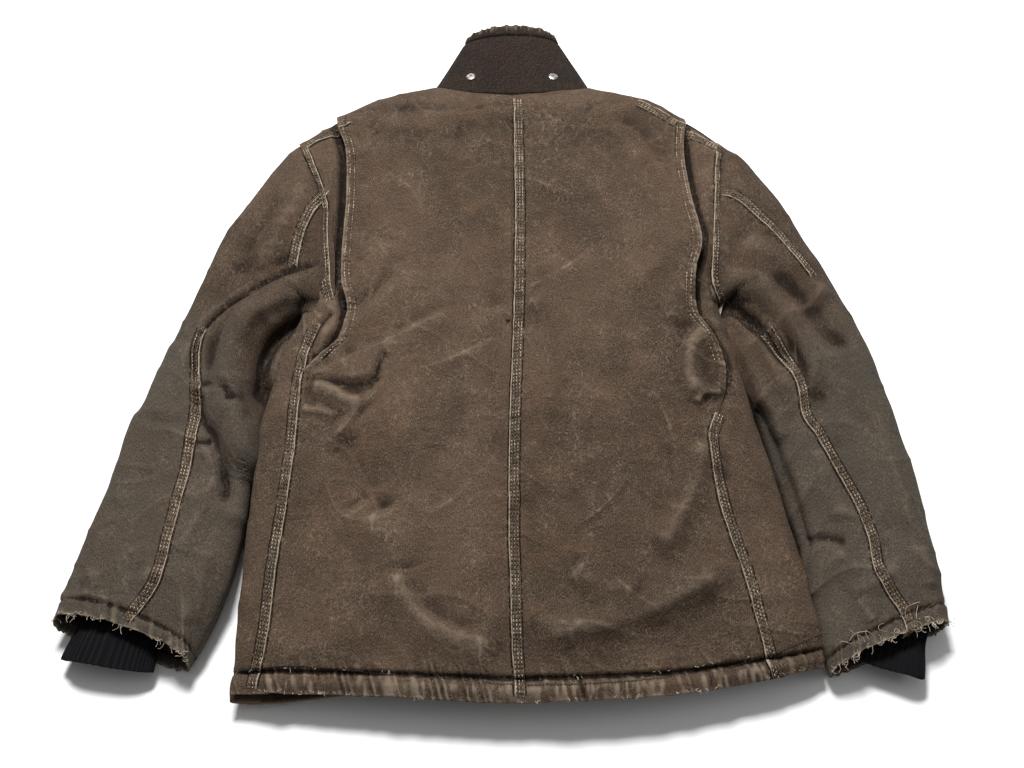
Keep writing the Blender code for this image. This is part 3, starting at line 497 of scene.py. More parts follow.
def side_piece(side, look):
    """The gusset behind the pleat and the side panel, from under the back panel round to the front."""
    columns, rows = int(0.13 / FINE), int(0.73 / FINE)

    def shape(u, v):
        run, y, under = turned_hem(v, 0.283)
        half = half_width(side, y)
        start = angle_of(side, y, np.minimum(PANEL_EDGE[side](y) - 0.016, half))
        high = smooth(0.010, 0.034, y)
        armhole = np.minimum(ARMHOLE[side](y), half * 0.999)
        at_arm = angle_of(side, y, armhole)
        end = -44 + (at_arm + 44) * high
        angle = start + (end - start) * u
        points = body_at(side, y, angle)
        x = np.abs(points[:, 0])
        gusset = smooth(-0.12, -0.05, y)
        past = x - PANEL_EDGE[side](y)
        relief = back_relief(points[:, 0], y, np.maximum(run, 0)) * smooth(-20, 30, angle)
        relief -= 0.0012 + 0.0036 * gusset * smooth(0.040, 0.0, past)
        relief -= recess(side, x, y)
        above = smooth(-35, 10, angle)
        relief += 0.0022 * crumple(x, y * 0.35, 0.022, 40 + side) * gusset * above
        relief += 0.0012 * field(x, y, 0.03, 44) * above
        points = push(points, angle, side, relief - under)
        # Pale at the rubbed hem; painted shade in the hollow behind the pleat's folded edge.
        rubbing_and_shade = 0.4 * hump(run, 0, 0.006) - 1.3 * gusset * hump(past, 0, 0.010)
        return points, {"rubbing_and_shade": rubbing_and_shade}

    return cloth(f"side_panel_{WORD[side]}", columns, rows, shape, look)


def front_relief(x, y, hem):
    out = 0.0007 * field(x, y, 0.09, 51) + 0.0005 * crumple(x, y, 0.05, 52)
    out += ripple(x, 53) * 0.0012 * smooth(0.036, 0.014, hem)
    out -= 0.0018 * hump(hem, 0.025, 0.0028)
    return out


def front_panel(side, look):
    """From the zip round to the side seam and over the shoulder, with the hem turned in."""
    columns, rows = int(0.33 / 0.0028), int(0.80 / 0.0028)

    def shape(u, v):
        run, y, under = turned_hem(v, NECK_SIDE - 0.0008)
        inner = np.where(y > FRONT_NECK, np.maximum(neck_at(y, FRONT_NECK), 0.009), 0.009)
        start = angle_of(side, y, inner, front=True)
        half = half_width(side, y)
        at_arm = angle_of(side, y, np.minimum(0.246 + 0.022 * (y - 0.026) / 0.228, half * 0.999),
                          front=True)
        beside = smooth(0.010, 0.034, y) * smooth(0.262, 0.245, y)
        end = np.where(y < 0.14, -33.0, 3.5)
        end = end + (at_arm - end) * beside
        angle = start + (end - start) * u
        points = body_at(side, y, angle)
        x = points[:, 0]
        relief = front_relief(x, y, np.maximum(run, 0)) * smooth(5, -30, angle)
        edge = np.abs(x) - 0.009
        relief -= 0.0012 * hump(edge, 0.008, 0.0016) * smooth(0.26, 0.24, y)
        points = push(points, angle, side, relief - under)
        points[:, 2] = np.maximum(points[:, 2], FRONT_LOWEST)
        rubbing_and_shade = 0.5 * hump(edge, 0, 0.003) + 0.4 * hump(run, 0, 0.006)
        return points, {"rubbing_and_shade": rubbing_and_shade}

    return cloth(f"front_panel_{WORD[side]}", columns, rows, shape, look, outward=(0, 0, -1))


# ---------------------------------------------------------------- sleeves
def along(points):
    fine = spline(np.array(points) / 1000, 300)
    at = np.linspace(0, 1, 300)
    return lambda t: np.stack([np.interp(t, at, fine[:, 0]), np.interp(t, at, fine[:, 1])], 1)


OUT_LINE = {
    -1: along([(-258, 254), (-290, 226), (-319, 179), (-345, 121), (-368, 51), (-391, -23), (-408, -94),
               (-428, -161), (-443, -227), (-457, -278), (-469, -328), (-477, -352)]),
    1: along([(258, 254), (294, 223), (323, 171), (343, 121), (362, 79), (386, 24), (406, -29), (424, -106),
              (440, -180), (447, -250), (450, -317), (452, -352)]),
}
IN_LINE = {
    -1: along([(-236, 26), (-243, -20), (-258, -60), (-272, -95), (-279, -133), (-284, -194), (-288, -252),
               (-302, -319), (-318, -364), (-334, -396)]),
    1: along([(236, 26), (247, -20), (258, -60), (270, -110), (281, -160), (292, -208), (304, -265),
              (311, -310), (319, -364), (327, -402)]),
}
SLEEVE_SEAM = {
    -1: [(-225, 159), (-247, 119), (-247, 78), (-262, 56), (-292, 36), (-321, 14), (-350, -6), (-356, -39),
         (-349, -102), (-349, -145), (-354, -204), (-363, -261), (-371, -311), (-390, -343), (-398, -356)],
    1: [(240, 176), (270, 154), (302, 119), (322, 84), (330, 50), (322, 10), (316, -40), (318, -90),
        (322, -128), (335, -150), (347, -180), (369, -226), (380, -266), (383, -299), (395, -325),
        (406, -346), (410, -366)],
}
SLEEVE_TOP = {
    -1: table([(0, 0.080), (0.2, 0.070), (0.4, 0.062), (0.6, 0.060), (0.8, 0.054), (1.0, 0.045)]),
    1: table([(0, 0.080), (0.25, 0.074), (0.45, 0.070), (0.8, 0.057), (1.0, 0.045)]),
}
SLEEVE_LENGTH = 0.62

# Folds of the sleeves: curve, height, width to its left and to its right.
SLEEVE_FOLDS = {
    -1: [
        ([(-205, 46), (-235, 38), (-268, 22), (-299, -6), (-315, -45), (-314, -95), (-300, -144),
          (-290, -202)], 19, 20, 21),
        ([(-208, 68), (-253, 55), (-297, 33), (-336, 5), (-353, -19), (-356, -48), (-351, -92)], -9, 4, 5),
        ([(-351, -85), (-340, -123), (-322, -153), (-307, -200), (-303, -234)], -6.0, 6, 8),
        ([(-205, 30), (-250, 20), (-290, -10), (-303, -40)], 3.0, 4, 7),
        ([(-226, 8), (-252, -12), (-268, -32), (-277, -58), (-278, -90), (-272, -112)], -19, 8, 9),
        ([(-349, -84), (-318, -93), (-306, -112)], -3.4, 5, 7),
        ([(-352, -157), (-326, -153)], -3.5, 4, 6),
        ([(-273, -112), (-283, -148), (-289, -196), (-295, -253)], 5.0, 13, 14),
        ([(-418, -109), (-416, -189), (-416, -235)], 3.4, 14, 14),
        ([(-231, 188), (-266, 130), (-289, 61)], 3.6, 15, 18),
        ([(-263, 168), (-292, 118), (-322, 49)], -2.8, 15, 15),
        ([(-310, 150), (-330, 90), (-352, 30)], 3.0, 18, 15),
        ([(-370, -20), (-385, -80), (-390, -130)], 3.4, 15, 22),
        ([(-340, -190), (-335, -240), (-345, -290)], 3.0, 15, 18),
        ([(-468, -329), (-438, -325), (-411, -336)], 2.6, 5, 7),
        ([(-355, -373), (-338, -385)], 3.0, 5, 6),
        ([(-377, -292), (-383, -325), (-396, -347)], 2.0, 8, 9),
        ([(-321, -271), (-327, -315), (-338, -358)], 2.6, 9, 12),
        ([(-430, -250), (-435, -290), (-430, -325)], 2.2, 9, 9),
    ],
    1: [
        ([(228, 22), (247, 35), (275, 31), (300, 2), (319, -32), (333, -66), (332, -106)], 12, 24, 7),
        ([(240, 20), (258, 14), (277, -10), (296, -44), (308, -78)], -15, 6, 7, (0.05, 0.3)),
        ([(256, -13), (266, -50), (276, -86), (288, -120), (296, -160)], 6.0, 9, 8),
        ([(262, -84), (274, -124), (291, -179), (303, -230), (309, -290)], -5.5, 6, 8),
        ([(301, -272), (329, -264), (355, -269)], -3.2, 5, 7),
        ([(308, -324), (332, -291), (354, -280)], 2.8, 7, 8),
        ([(349, -323), (382, -312), (405, -290)], 2.2, 7, 9),
        ([(250, 182), (298, 156), (335, 104)], 2.6, 12, 15),
        ([(262, 102), (319, 65), (360, 14)], 4.2, 18, 20),
        ([(300, 60), (340, 10), (370, -50)], -2.4, 18, 18),
        ([(406, -84), (412, -169), (412, -259)], 3.2, 16, 16),
        ([(371, 0), (393, -87), (388, -168)], -2.6, 20, 20),
        ([(330, -160), (345, -210), (350, -250)], 2.6, 12, 12),
        ([(430, -270), (436, -320)], 2.6, 8, 9),
        ([(360, -330), (372, -355)], 2.2, 7, 7),
    ],
}


def back_height(side, x, y):
    a = np.radians(angle_of(side, y, x))
    return (TOPS(y) + FRONT_Z) / 2 + np.sin(a) ** (2 / BACK_ROUND) * (TOPS(y) - FRONT_Z) / 2


def sleeve_folds(side, x, y):
    out = np.zeros(len(x))
    for points, height, left, right, *ends in SLEEVE_FOLDS[side]:
        out += fold(x, y, points, 1.25 * height if abs(height) < 8 else height, left, right, *ends)
    return out


def sleeve_relief(side, x, y, t):
    out = 0.0034 * field(x, y, 0.13, 61 + side) + 0.0016 * field(x, y, 0.055, 63)
    out += 0.0005 * field(x, y, 0.022, 64)
    out += 0.0034 * crumple(x, y, 0.085, 65 + side) + 0.0014 * crumple(x, y, 0.036, 67)
    out += sleeve_folds(side, x, y)
    mouth = 1 - t
    out += ripple(x, 71 + side) * 0.0022 * smooth(0.07, 0.02, mouth)
    out -= 0.0020 * hump(mouth, 0.030, 0.005)
    return out


def sleeve_at(side, t, turn, depth=0.0, folds=1.0):
    """Points on a sleeve's wall: turn 0 is its outer edge, 90 its top, 180 its inner edge."""
    out, inn = OUT_LINE[side](t), IN_LINE[side](t)
    middle, reach = (out + inn) / 2, (out - inn) / 2
    half = np.linalg.norm(reach, axis=1)
    way = reach / half[:, None]
    a = np.radians(turn)
    c, s = np.cos(a), np.sin(a)
    top = SLEEVE_TOP[side](t)
    low = FRONT_Z * np.clip(1 - t / 0.3, 0, 1) ** 2 + 0.0008
    power = np.where(s > 0, 2.5, 4.0)
    plan = middle + way * (np.sign(c) * np.abs(c) ** (2 / power) * (half - depth))[:, None]
    z = (top + low) / 2 + np.sign(s) * np.abs(s) ** (2 / power) * ((top - low) / 2 - depth)
    line = 0.236 + 0.022 * (plan[:, 1] - 0.026) / 0.228
    bow = np.clip(line - ARMHOLE[side](plan[:, 1]) + 0.012, 0, 0.05) * (1 - smooth(0, 0.28, t))
    plan[:, 0] -= side * bow * smooth(-0.2, 0.3, s)
    plan[:, 1] += {-1: 0.017, 1: 0.006}[side] * np.clip(s, 0, 1) * smooth(0.7, 1.0, t)
    x, y = plan[:, 0], plan[:, 1]
    past = np.abs(x) - ARMHOLE[side](y)
    near = smooth(0.060, -0.004, past) * smooth(0.45, 0.2, t)
    above = near * smooth(0.0, 0.35, s)
    z = z * (1 - above) + (back_height(side, np.abs(x), y) - 0.0012 - depth) * above
    z -= 0.0032 * hump(past, 0, 0.007) * above
    below = near * smooth(0.0, -0.35, s)
    z = z * (1 - below) + (FRONT_Z + 0.0006 + depth) * below
    relief = sleeve_relief(side, x, y, t) * smooth(-0.25, 0.25, s) * (1 - 0.9 * above * smooth(0.03, 0.0,
                                                                                               past))
    relief += back_relief(x, y, y * 0 + 0.3) * above * smooth(0.03, 0.0, past)
    relief *= folds
    across, rise = np.abs(c) ** 1.2 / 0.07, np.abs(s) ** 1.2 / 0.035
    long = np.sqrt(across**2 + rise**2)
    plan += way * (np.sign(c) * across / long * relief)[:, None]
    z = np.maximum(z + np.sign(s) * rise / long * relief, 0.0006 + depth)
    return np.stack([plan[:, 0], plan[:, 1], z], 1)


def seam_turn(side):
    """Where the back seam runs, as a turn for each share of the sleeve's length."""
    seam = spline(np.array(SLEEVE_SEAM[side]) / 1000, 300)
    shares = np.linspace(0, 1, 60)
    out, inn = OUT_LINE[side](shares), IN_LINE[side](shares)
    turns = []
    for o, i in zip(out, inn):
        way = (o - i) / np.linalg.norm(o - i)
        apart = (seam - (o + i) / 2) @ np.array([-way[1], way[0]])
        across = (seam - (o + i) / 2) @ way / (np.linalg.norm(o - i) / 2)
        k = np.abs(apart).argmin()
        share = np.clip(across[k], -0.97, 0.97)
        turns.append(math.degrees(math.acos(math.copysign(abs(share) ** 1.25, share))))
    turns = np.convolve(np.pad(turns, 2, mode="edge"), np.ones(5) / 5, "valid")
    return lambda t: np.interp(t, shares, turns)


SEAM_TURN = {side: seam_turn(side) for side in (-1, 1)}


def sleeve_panel(side, half, look):
    """One panel of a sleeve, with its mouth turned in."""
    columns, rows = int((0.20 if half == "outer" else 0.17) / FINE), int(0.60 / FINE)

    def shape(u, v):
        run = SLEEVE_LENGTH - v * (SLEEVE_LENGTH + 0.014)
        t = 1 - (np.sqrt(run**2 + MOUTH_TURN**2) - MOUTH_TURN) / SLEEVE_LENGTH
        depth = 2 * MOUTH_TURN * smooth(0, -2 * MOUTH_TURN, run)
        seam = SEAM_TURN[side](t)
        turn = -90 + (seam + 90) * u if half == "outer" else seam + (270 - seam) * u
        points = sleeve_at(side, t, turn, depth)
        frayed = 0.0022 * field(turn * 0.01, turn * 0 + side, 0.05, 77)
        frayed += 0.001 * field(turn * 0.01, turn * 0, 0.017, 78)
        points[:, 1] += frayed * smooth(0.03, 0.0, np.abs(run))
        grey = smooth(0.28, 0.5, t)
        # Pale at the rubbed mouth and towards the cuff; painted shade along the groove near the mouth and in
        # the deep fold hollows; the high folds darker and greyer.
        rubbing_and_shade = 1.1 * hump(run, 0, 0.0045) * (0.6 + 0.5 * field(turn * 0.01, turn * 0, 0.03, 79))
        rubbing_and_shade += 0.10 * smooth(0.5, 0.9, t) - 0.5 * hump(run, 0.020, 0.003)
        folds = sleeve_folds(side, points[:, 0], points[:, 1]) * (points[:, 2] > 0.02)
        rubbing_and_shade += np.clip((folds + 0.0035) / 0.011, -0.7, 0) - 0.32 * smooth(0.003, 0.014, folds) - 0.04
        return points, {"rubbing_and_shade": rubbing_and_shade, "grey": np.clip(grey + 0.25 * smooth(0.004, 0.014, folds), 0, 1)}

    return faced(cloth(f"sleeve_{WORD[side]}_{half}", columns, rows, shape, look, body=None))


def faced(obj, above=0.045, before=1.0, down=False):
    """Turns a curved sheet's faces so that those higher than above look up, or down."""
    mesh = obj.data
    centre, normal = np.empty(len(mesh.polygons) * 3), np.empty(len(mesh.polygons) * 3)
    mesh.polygons.foreach_get("center", centre)
    mesh.polygons.foreach_get("normal", normal)
    centre, normal = centre.reshape(-1, 3), normal.reshape(-1, 3)
    upper = (centre[:, 2] > above) & (centre[:, 1] < before)
    if upper.any() and (normal[upper, 2].sum() < 0) != down:
        mesh.flip_normals()
    return obj


def bend(obj, side):
    """Bakes a piece of a sleeve's placement into its mesh."""
    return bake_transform(obj)


KNIT_BASE = {-1: (-0.412, -0.357), 1: (0.391, -0.358)}
KNIT_WAY = {-1: (-0.20, -0.98), 1: (-0.27, -0.963)}
KNIT_HALF = {-1: 0.047, 1: 0.043}


def knit_cuff(side, look):
    """A ribbed tube that starts inside the sleeve and ends in a turned edge."""
    way = np.array(KNIT_WAY[side])
    across = np.array([-way[1], way[0]]) * side
    reach, inside = (0.036, 0.050)

    def shape(u, v):
        run = v * (reach + inside + 0.012)
        out = np.minimum(run, reach + inside) - np.maximum(run - reach - inside, 0)
        inner = smooth(reach + inside - 0.002, reach + inside + 0.003, run)
        turn = u * 2 * np.pi - np.pi / 2
        c, s = np.cos(turn), np.sin(turn)
        half = KNIT_HALF[side] * (1 + 0.04 * np.cos(out * 60)) - inner * 0.0022
        rib = 0.0007 * np.cos(turn * 46 + 0.6 * np.sin(out * 70)) + 0.0014 * field(turn * 0.1, out, 0.03,
                                                                                   81)
        top, low = 0.031 + 0.003 * np.sin(turn * 2 + side), 0.0035
        flat = out - inside + 0.006 * np.sin(turn + 0.5)
        plan = np.array(KNIT_BASE[side]) + flat[:, None] * way
        plan = plan + across * (np.sign(c) * np.abs(c) ** 0.8 * (half + rib))[:, None]
        z = (top + low) / 2 + np.sign(s) * np.abs(s) ** 0.8 * ((top - low) / 2 + rib - inner * 0.0022)
        return np.stack([plan[:, 0], plan[:, 1], np.maximum(z, 0.0008)], 1)

    return faced(cloth(f"knit_cuff_{WORD[side]}", 560, 60, shape, look, body=f"{WORD[side]}_sleeve"))


# ---------------------------------------------------------------- collar
def collar_at(turn, share, depth):
    """Points on the collar's wall: turn 90 is the middle of the back, -90 its open front."""
    a = np.radians(turn)
    c, s = np.cos(a), np.sin(a)
    back = s > 0
    drop = np.where(back, 0.032, 0.085)
    low_x, low_y = c * NECK_HALF, NECK_SIDE - drop * np.abs(s) + COLLAR_SEAT
    dip = np.where(back, 0.014 * (1 - s), 0.014 + (0.098 - 0.014) * -s)
    high_x, high_y = c * COLLAR_TOP_HALF, COLLAR_TOP_Y - dip
    x = low_x + (high_x - low_x) * share
    y = low_y + (high_y - low_y) * share
    x = x - np.sign(x) * np.minimum(depth, np.abs(x)) * np.abs(c)
    top = np.where(back, 0.076 + (0.058 - 0.076) * share, FRONT_Z)
    middle = (0.076 + FRONT_Z) / 2 + (0.044 - (0.076 + FRONT_Z) / 2) * share
    reach = np.where(back, top - middle, middle - (FRONT_Z + (0.0006 - FRONT_Z) * share))
    z = middle + np.sign(s) * np.abs(s) ** (2 / BACK_ROUND) * (reach - depth)
    return np.stack([x, y, z], 1)


def collar_piece(name, look, depth, low, high, turned, pitch):
    def shape(u, v):
        turn = -78 + 336 * u
        share = low + (high + turned - low) * v
        over = smooth(high, high + 0.02, share)
        inside = np.minimum(share, 2 * high - share)
        points = collar_at(turn, inside, depth + over * 0.0040)
        run = (turn + 78) / 336 * 0.40
        near_snap = np.exp(-(((np.abs(points[:,
                                             0]) - 0.051) / 0.010) ** 2) - (((share - 0.24) / 0.10) ** 2))
        near_snap *= points[:, 2] > 0.04
        lift = 0.0016 * field(run, share * 0.1, 0.06, 91) + 0.0005 * field(run, share * 0.1, 0.02, 92)
        lift *= 1 - near_snap
        lift += ripple(run, 93, 0.009) * 0.0030 * smooth(0.80, 0.97, inside)
        lift += ripple(run, 94, 0.008) * 0.0008 * smooth(0.12, 0.03, inside)
        lift -= 0.0016 * hump(inside, 0.86, 0.022)
        a = np.radians(turn)
        lift *= 0.0 if depth else 1.0
        points[:, 0] += np.cos(a) * lift
        points[:, 2] += np.sin(a) * lift
        points[:, 1] += 0.0011 * ripple(run, 95, 0.012) * smooth(0.8, 1.0, share)
        points[:, 2] = np.maximum(points[:, 2], 0.0007)
        rubbing_and_shade = smooth(0.88, 1.0, inside) * (0.45 + 1.3 * ripple(run, 96, 0.006))
        # Painted shade along the stitch groove below the top edge, and painted shadow at the collar's foot.
        rubbing_and_shade -= 0.5 * hump(inside, 0.86, 0.03) + 0.9 * smooth(0.07, 0.0, inside)
        return points, {"rubbing_and_shade": rubbing_and_shade}

    return faced(cloth(name, int(0.40 / pitch), int(0.125 / pitch), shape, look), 0.05, 0.40, depth > 0)


# ---------------------------------------------------------------- finishes
def group(name, inputs, outputs):
    tree_ = bpy.data.node_groups.new(name, "ShaderNodeTree")
    for label, kind, value in inputs:
        socket = tree_.interface.new_socket(name=label, in_out="INPUT", socket_type="NodeSocket" + kind)
        if value is not None:
            socket.default_value = value
    for label, kind in outputs:
        tree_.interface.new_socket(name=label, in_out="OUTPUT", socket_type="NodeSocket" + kind)
    return tree_, tree_.nodes.new("NodeGroupInput").outputs, tree_.nodes.new("NodeGroupOutput").inputs


def put(tree_, socket, value):
    if isinstance(value, bpy.types.NodeSocket):
        tree_.links.new(value, socket)
    else:
        socket.default_value = value


def maths(tree_, kind, a, b=0.0, clamp=False):
    node = tree_.nodes.new("ShaderNodeMath")
    node.operation, node.use_clamp = kind, clamp
    for socket, value in zip(node.inputs, (a, b)):
        put(tree_, socket, value)
    return node.outputs[0]


def blended(tree_, share, a, b, kind="MIX"):
    node = tree_.nodes.new("ShaderNodeMix")
    node.data_type, node.blend_type = "RGBA", kind
    put(tree_, node.inputs["Factor"], share)
    put(tree_, node.inputs["A"], a)
    put(tree_, node.inputs["B"], b)
    return node.outputs["Result"]


def span(tree_, value, low, high, to_low=0.0, to_high=1.0):
    node = tree_.nodes.new("ShaderNodeMapRange")
    node.interpolation_type = "SMOOTHSTEP"
    for socket, item in zip(node.inputs, (value, low, high, to_low, to_high)):
        put(tree_, socket, item)
    return node.outputs[0]


def noise(tree_, where, scale, detail=3.0, rough=0.6, warp=0.0):
    node = tree_.nodes.new("ShaderNodeTexNoise")
    put(tree_, node.inputs["Vector"], where)
    put(tree_, node.inputs["Scale"], scale)
    put(tree_, node.inputs["Detail"], detail)
    put(tree_, node.inputs["Roughness"], rough)
    put(tree_, node.inputs["Distortion"], warp)
    return node.outputs["Fac"]


def mapped(tree_, where, turn=(0, 0, 0), scale=(1, 1, 1)):
    node = tree_.nodes.new("ShaderNodeMapping")
    put(tree_, node.inputs["Vector"], where)
    node.inputs["Rotation"].default_value = turn
    node.inputs["Scale"].default_value = scale
    return node.outputs[0]


def weave_group():
    """A plain weave: threads over and under each other."""
    tree_, given, result = group(
        "plain_weave", [("Place", "Vector", None), ("Threads per metre", "Float", 1500.0)], [("Height",
                                                                                              "Float")]
    )
    split = tree_.nodes.new("ShaderNodeSeparateXYZ")
    put(tree_, split.inputs[0], given["Place"])
    angle = maths(tree_, "MULTIPLY", given["Threads per metre"], math.pi)
    a = maths(tree_, "SINE", maths(tree_, "MULTIPLY", split.outputs["X"], angle))
    b = maths(tree_, "SINE", maths(tree_, "MULTIPLY", split.outputs["Y"], angle))
    rows = maths(tree_, "MULTIPLY", a, b)
    ribs = maths(tree_, "ABSOLUTE", a)
    put(tree_, result["Height"], maths(tree_, "ADD", maths(tree_, "MULTIPLY", rows, 0.35), ribs))
    return tree_


def abrasion_group():
    """Fine curled pale hairs and rubbed threads, in patches."""
    tree_, given, result = group("abrasion", [("Place", "Vector", None), ("Amount", "Float", 0.5)],
                                 [("Mask", "Float")])
    hairs = 0.0
    for scale, warp, turn, thin in ((120.0, 1.3, 0.4, 0.026), (70.0, 2.2, 1.9, 0.014),
                                    (190.0, 1.0, 2.6, 0.034)):
        place = mapped(tree_, given["Place"], (0, 0, turn), (1, 0.7, 1))
        curls = noise(tree_, place, scale, 1.0, 0.5, warp)
        band_ = maths(tree_, "ABSOLUTE", maths(tree_, "SUBTRACT", curls, 0.5))
        line = span(tree_, band_, thin, 0.0)
        patch = span(tree_, noise(tree_, place, scale * 0.16, 2.0, 0.6), 0.42, 0.66)
        hairs = maths(tree_, "ADD", hairs, maths(tree_, "MULTIPLY", line, patch))
    put(tree_, result["Mask"], maths(tree_, "MULTIPLY", hairs, given["Amount"], clamp=True))
    return tree_


WEAVE = weave_group()
ABRASION = abrasion_group()


def use(tree_, shared, **given):
    node = tree_.nodes.new("ShaderNodeGroup")
    node.node_tree = shared
    for label, value in given.items():
        put(tree_, node.inputs[label.replace("_", " ")], value)
    return node.outputs


def finish_of(name):
    look = bpy.data.materials.new(name)
    look.use_nodes = True
    tree_ = look.node_tree
    return look, tree_, tree_.nodes["Principled BSDF"].inputs


def named(tree_, name):
    node = tree_.nodes.new("ShaderNodeAttribute")
    node.attribute_name = name
    return node.outputs["Fac"]


def canvas_look(name, base, rubbed, dark, grey=(0.062, 0.053, 0.0415), hairs=0.7, threads=1500.0,
                sheen=0.012):
    """Worn duck canvas: mottled, rubbed pale on its high folds and edges, with painted shade in its hollows.
    """
    look, tree_, shader = finish_of(name)
    place = tree_.nodes.new("ShaderNodeTexCoord").outputs
    where, flat = place["Object"], place["UV"]
    rubbing_and_shade, faded = named(tree_, "rubbing_and_shade"), named(tree_, "grey")
    broad = noise(tree_, where, 7.0, 3.0, 0.6, 0.6)
    middle = noise(tree_, where, 38.0, 4.0, 0.65, 0.3)
    small = noise(tree_, where, 210.0, 4.0, 0.75)
    grain = noise(tree_, mapped(tree_, flat, (0, 0, 0), (1, 0.45, 1)), 1100.0, 2.0, 0.7)
    rust = noise(tree_, where, 13.0, 3.0, 0.6, 1.0)
    light, deep = (*[c * 1.16 for c in base], 1), (*[c * 0.70 for c in base], 1)
    warm = (base[0] * 1.45, base[1] * 1.30, base[2] * 1.12, 1)
    colour = blended(tree_, span(tree_, broad, 0.36, 0.64), light, deep)
    colour = blended(tree_, span(tree_, rust, 0.48, 0.72, 0.0, 0.45), colour, warm)
    fading = maths(tree_, "MULTIPLY", faded, span(tree_, broad, 0.3, 0.6, 0.55, 0.95))
    colour = blended(tree_, fading, colour, (*grey, 1))
    colour = blended(tree_, span(tree_, middle, 0.50, 0.72, 0.0, 0.08), colour, (*rubbed, 1))
    colour = blended(tree_, span(tree_, small, 0.54, 0.76, 0.0, 0.13), colour, (*rubbed, 1))
    colour = blended(tree_, span(tree_, small, 0.48, 0.30, 0.0, 0.36), colour, (*dark, 1))
    colour = blended(tree_, span(tree_, grain, 0.50, 0.70, 0.0, 0.50), colour, (*rubbed, 1))
    colour = blended(tree_, span(tree_, grain, 0.50, 0.32, 0.0, 0.62), colour, (*dark, 1))
    patchy = maths(tree_, "ADD", rubbing_and_shade, maths(tree_, "MULTIPLY", maths(tree_, "SUBTRACT", small, 0.5), 0.5))
    colour = blended(tree_, span(tree_, patchy, 0.18, 1.0, 0.0, 0.80), colour, (*rubbed, 1))
    # Painted shade: the negative side of the per-point value, in hollows, grooves and at the collar's foot,
    # mixes towards the dark colour.
    colour = blended(tree_, span(tree_, rubbing_and_shade, -0.06, -0.62, 0.0, 0.93), colour, (*dark, 1))
    mask = use(tree_, ABRASION, Place=where, Amount=hairs)["Mask"]
    hair = (*[min(1, c * 1.25) for c in rubbed], 1)
    colour = blended(tree_, maths(tree_, "MULTIPLY", mask, 0.42), colour, hair)
    put(tree_, shader["Base Color"], colour)
    put(tree_, shader["Roughness"], span(tree_, middle, 0.3, 0.7, 0.86, 0.97))
    shader["Specular IOR Level"].default_value = 0.08
    shader["Sheen Weight"].default_value = sheen
    shader["Sheen Roughness"].default_value = 0.5
    threads_ = use(tree_, WEAVE, Place=flat, Threads_per_metre=threads)["Height"]
    height = maths(tree_, "MULTIPLY", threads_, 0.10)
    for part, share in ((grain, 0.5), (small, 1.2), (middle, 2.0)):
        height = maths(tree_, "ADD", height, maths(tree_, "MULTIPLY", part, share))
    bump = tree_.nodes.new("ShaderNodeBump")
    bump.inputs["Strength"].default_value = 0.75
    bump.inputs["Distance"].default_value = 0.0009
    put(tree_, bump.inputs["Height"], height)
    put(tree_, shader["Normal"], bump.outputs[0])
    return look


def metal_look(name, colour, tarnish, rough=0.34):
    look, tree_, shader = finish_of(name)
    where = tree_.nodes.new("ShaderNodeTexCoord").outputs["Object"]
    spots = span(tree_, noise(tree_, where, 900.0, 4.0, 0.7), 0.48, 0.70)
    put(tree_, shader["Base Color"], blended(tree_, spots, (*colour, 1), (*tarnish, 1)))
    put(tree_, shader["Roughness"], span(tree_, noise(tree_, where, 2500.0), 0.3, 0.7, rough, rough + 0.22))
    shader["Metallic"].default_value = 1.0
    bump = tree_.nodes.new("ShaderNodeBump")
    bump.inputs["Strength"].default_value = 0.25
    bump.inputs["Distance"].default_value = 0.0002
    put(tree_, bump.inputs["Height"], noise(tree_, where, 1800.0, 2.0))
    put(tree_, shader["Normal"], bump.outputs[0])
    return look


def knit_look(name, base):
    look, tree_, shader = finish_of(name)
    place = tree_.nodes.new("ShaderNodeTexCoord").outputs
    loops = use(tree_, WEAVE, Place=place["UV"], Threads_per_metre=620.0)["Height"]
    fluff = noise(tree_, place["Object"], 500.0, 4.0, 0.7)
    colour = blended(tree_, span(tree_, fluff, 0.45, 0.75, 0.0, 0.6),
                     (*base, 1), (*[c * 2.4 for c in base], 1))
    put(tree_, shader["Base Color"], colour)
    put(tree_, shader["Roughness"], span(tree_, fluff, 0.3, 0.7, 0.9, 1.0))
    shader["Sheen Weight"].default_value = 0.02
    shader["Specular IOR Level"].default_value = 0.15
    bump = tree_.nodes.new("ShaderNodeBump")
    bump.inputs["Strength"].default_value = 0.9
    bump.inputs["Distance"].default_value = 0.0008
    put(tree_, bump.inputs["Height"], maths(tree_, "ADD", loops, fluff))
    put(tree_, shader["Normal"], bump.outputs[0])
    return look


def thread_look(name, base, pale):
    look, tree_, shader = finish_of(name)
    where = tree_.nodes.new("ShaderNodeTexCoord").outputs["Object"]
    worn_ = span(tree_, noise(tree_, where, 75.0, 3.0, 0.7), 0.42, 0.66)
    put(tree_, shader["Base Color"], blended(tree_, worn_, (*base, 1), (*pale, 1)))
    put(tree_, shader["Roughness"], span(tree_, noise(tree_, where, 1500.0), 0.3, 0.7, 0.7, 0.95))
    return look


def floor_look():
    look, tree_, shader = finish_of("pale_floor")
    where = tree_.nodes.new("ShaderNodeTexCoord").outputs["Object"]
    soft = span(tree_, noise(tree_, where, 3.0, 2.0), 0.3, 0.7)
    put(tree_, shader["Base Color"], blended(tree_, soft, (0.93, 0.93, 0.93, 1), (0.95, 0.95, 0.95, 1)))
    put(tree_, shader["Roughness"], span(tree_, soft, 0.0, 1.0, 0.90, 0.96))
    return look


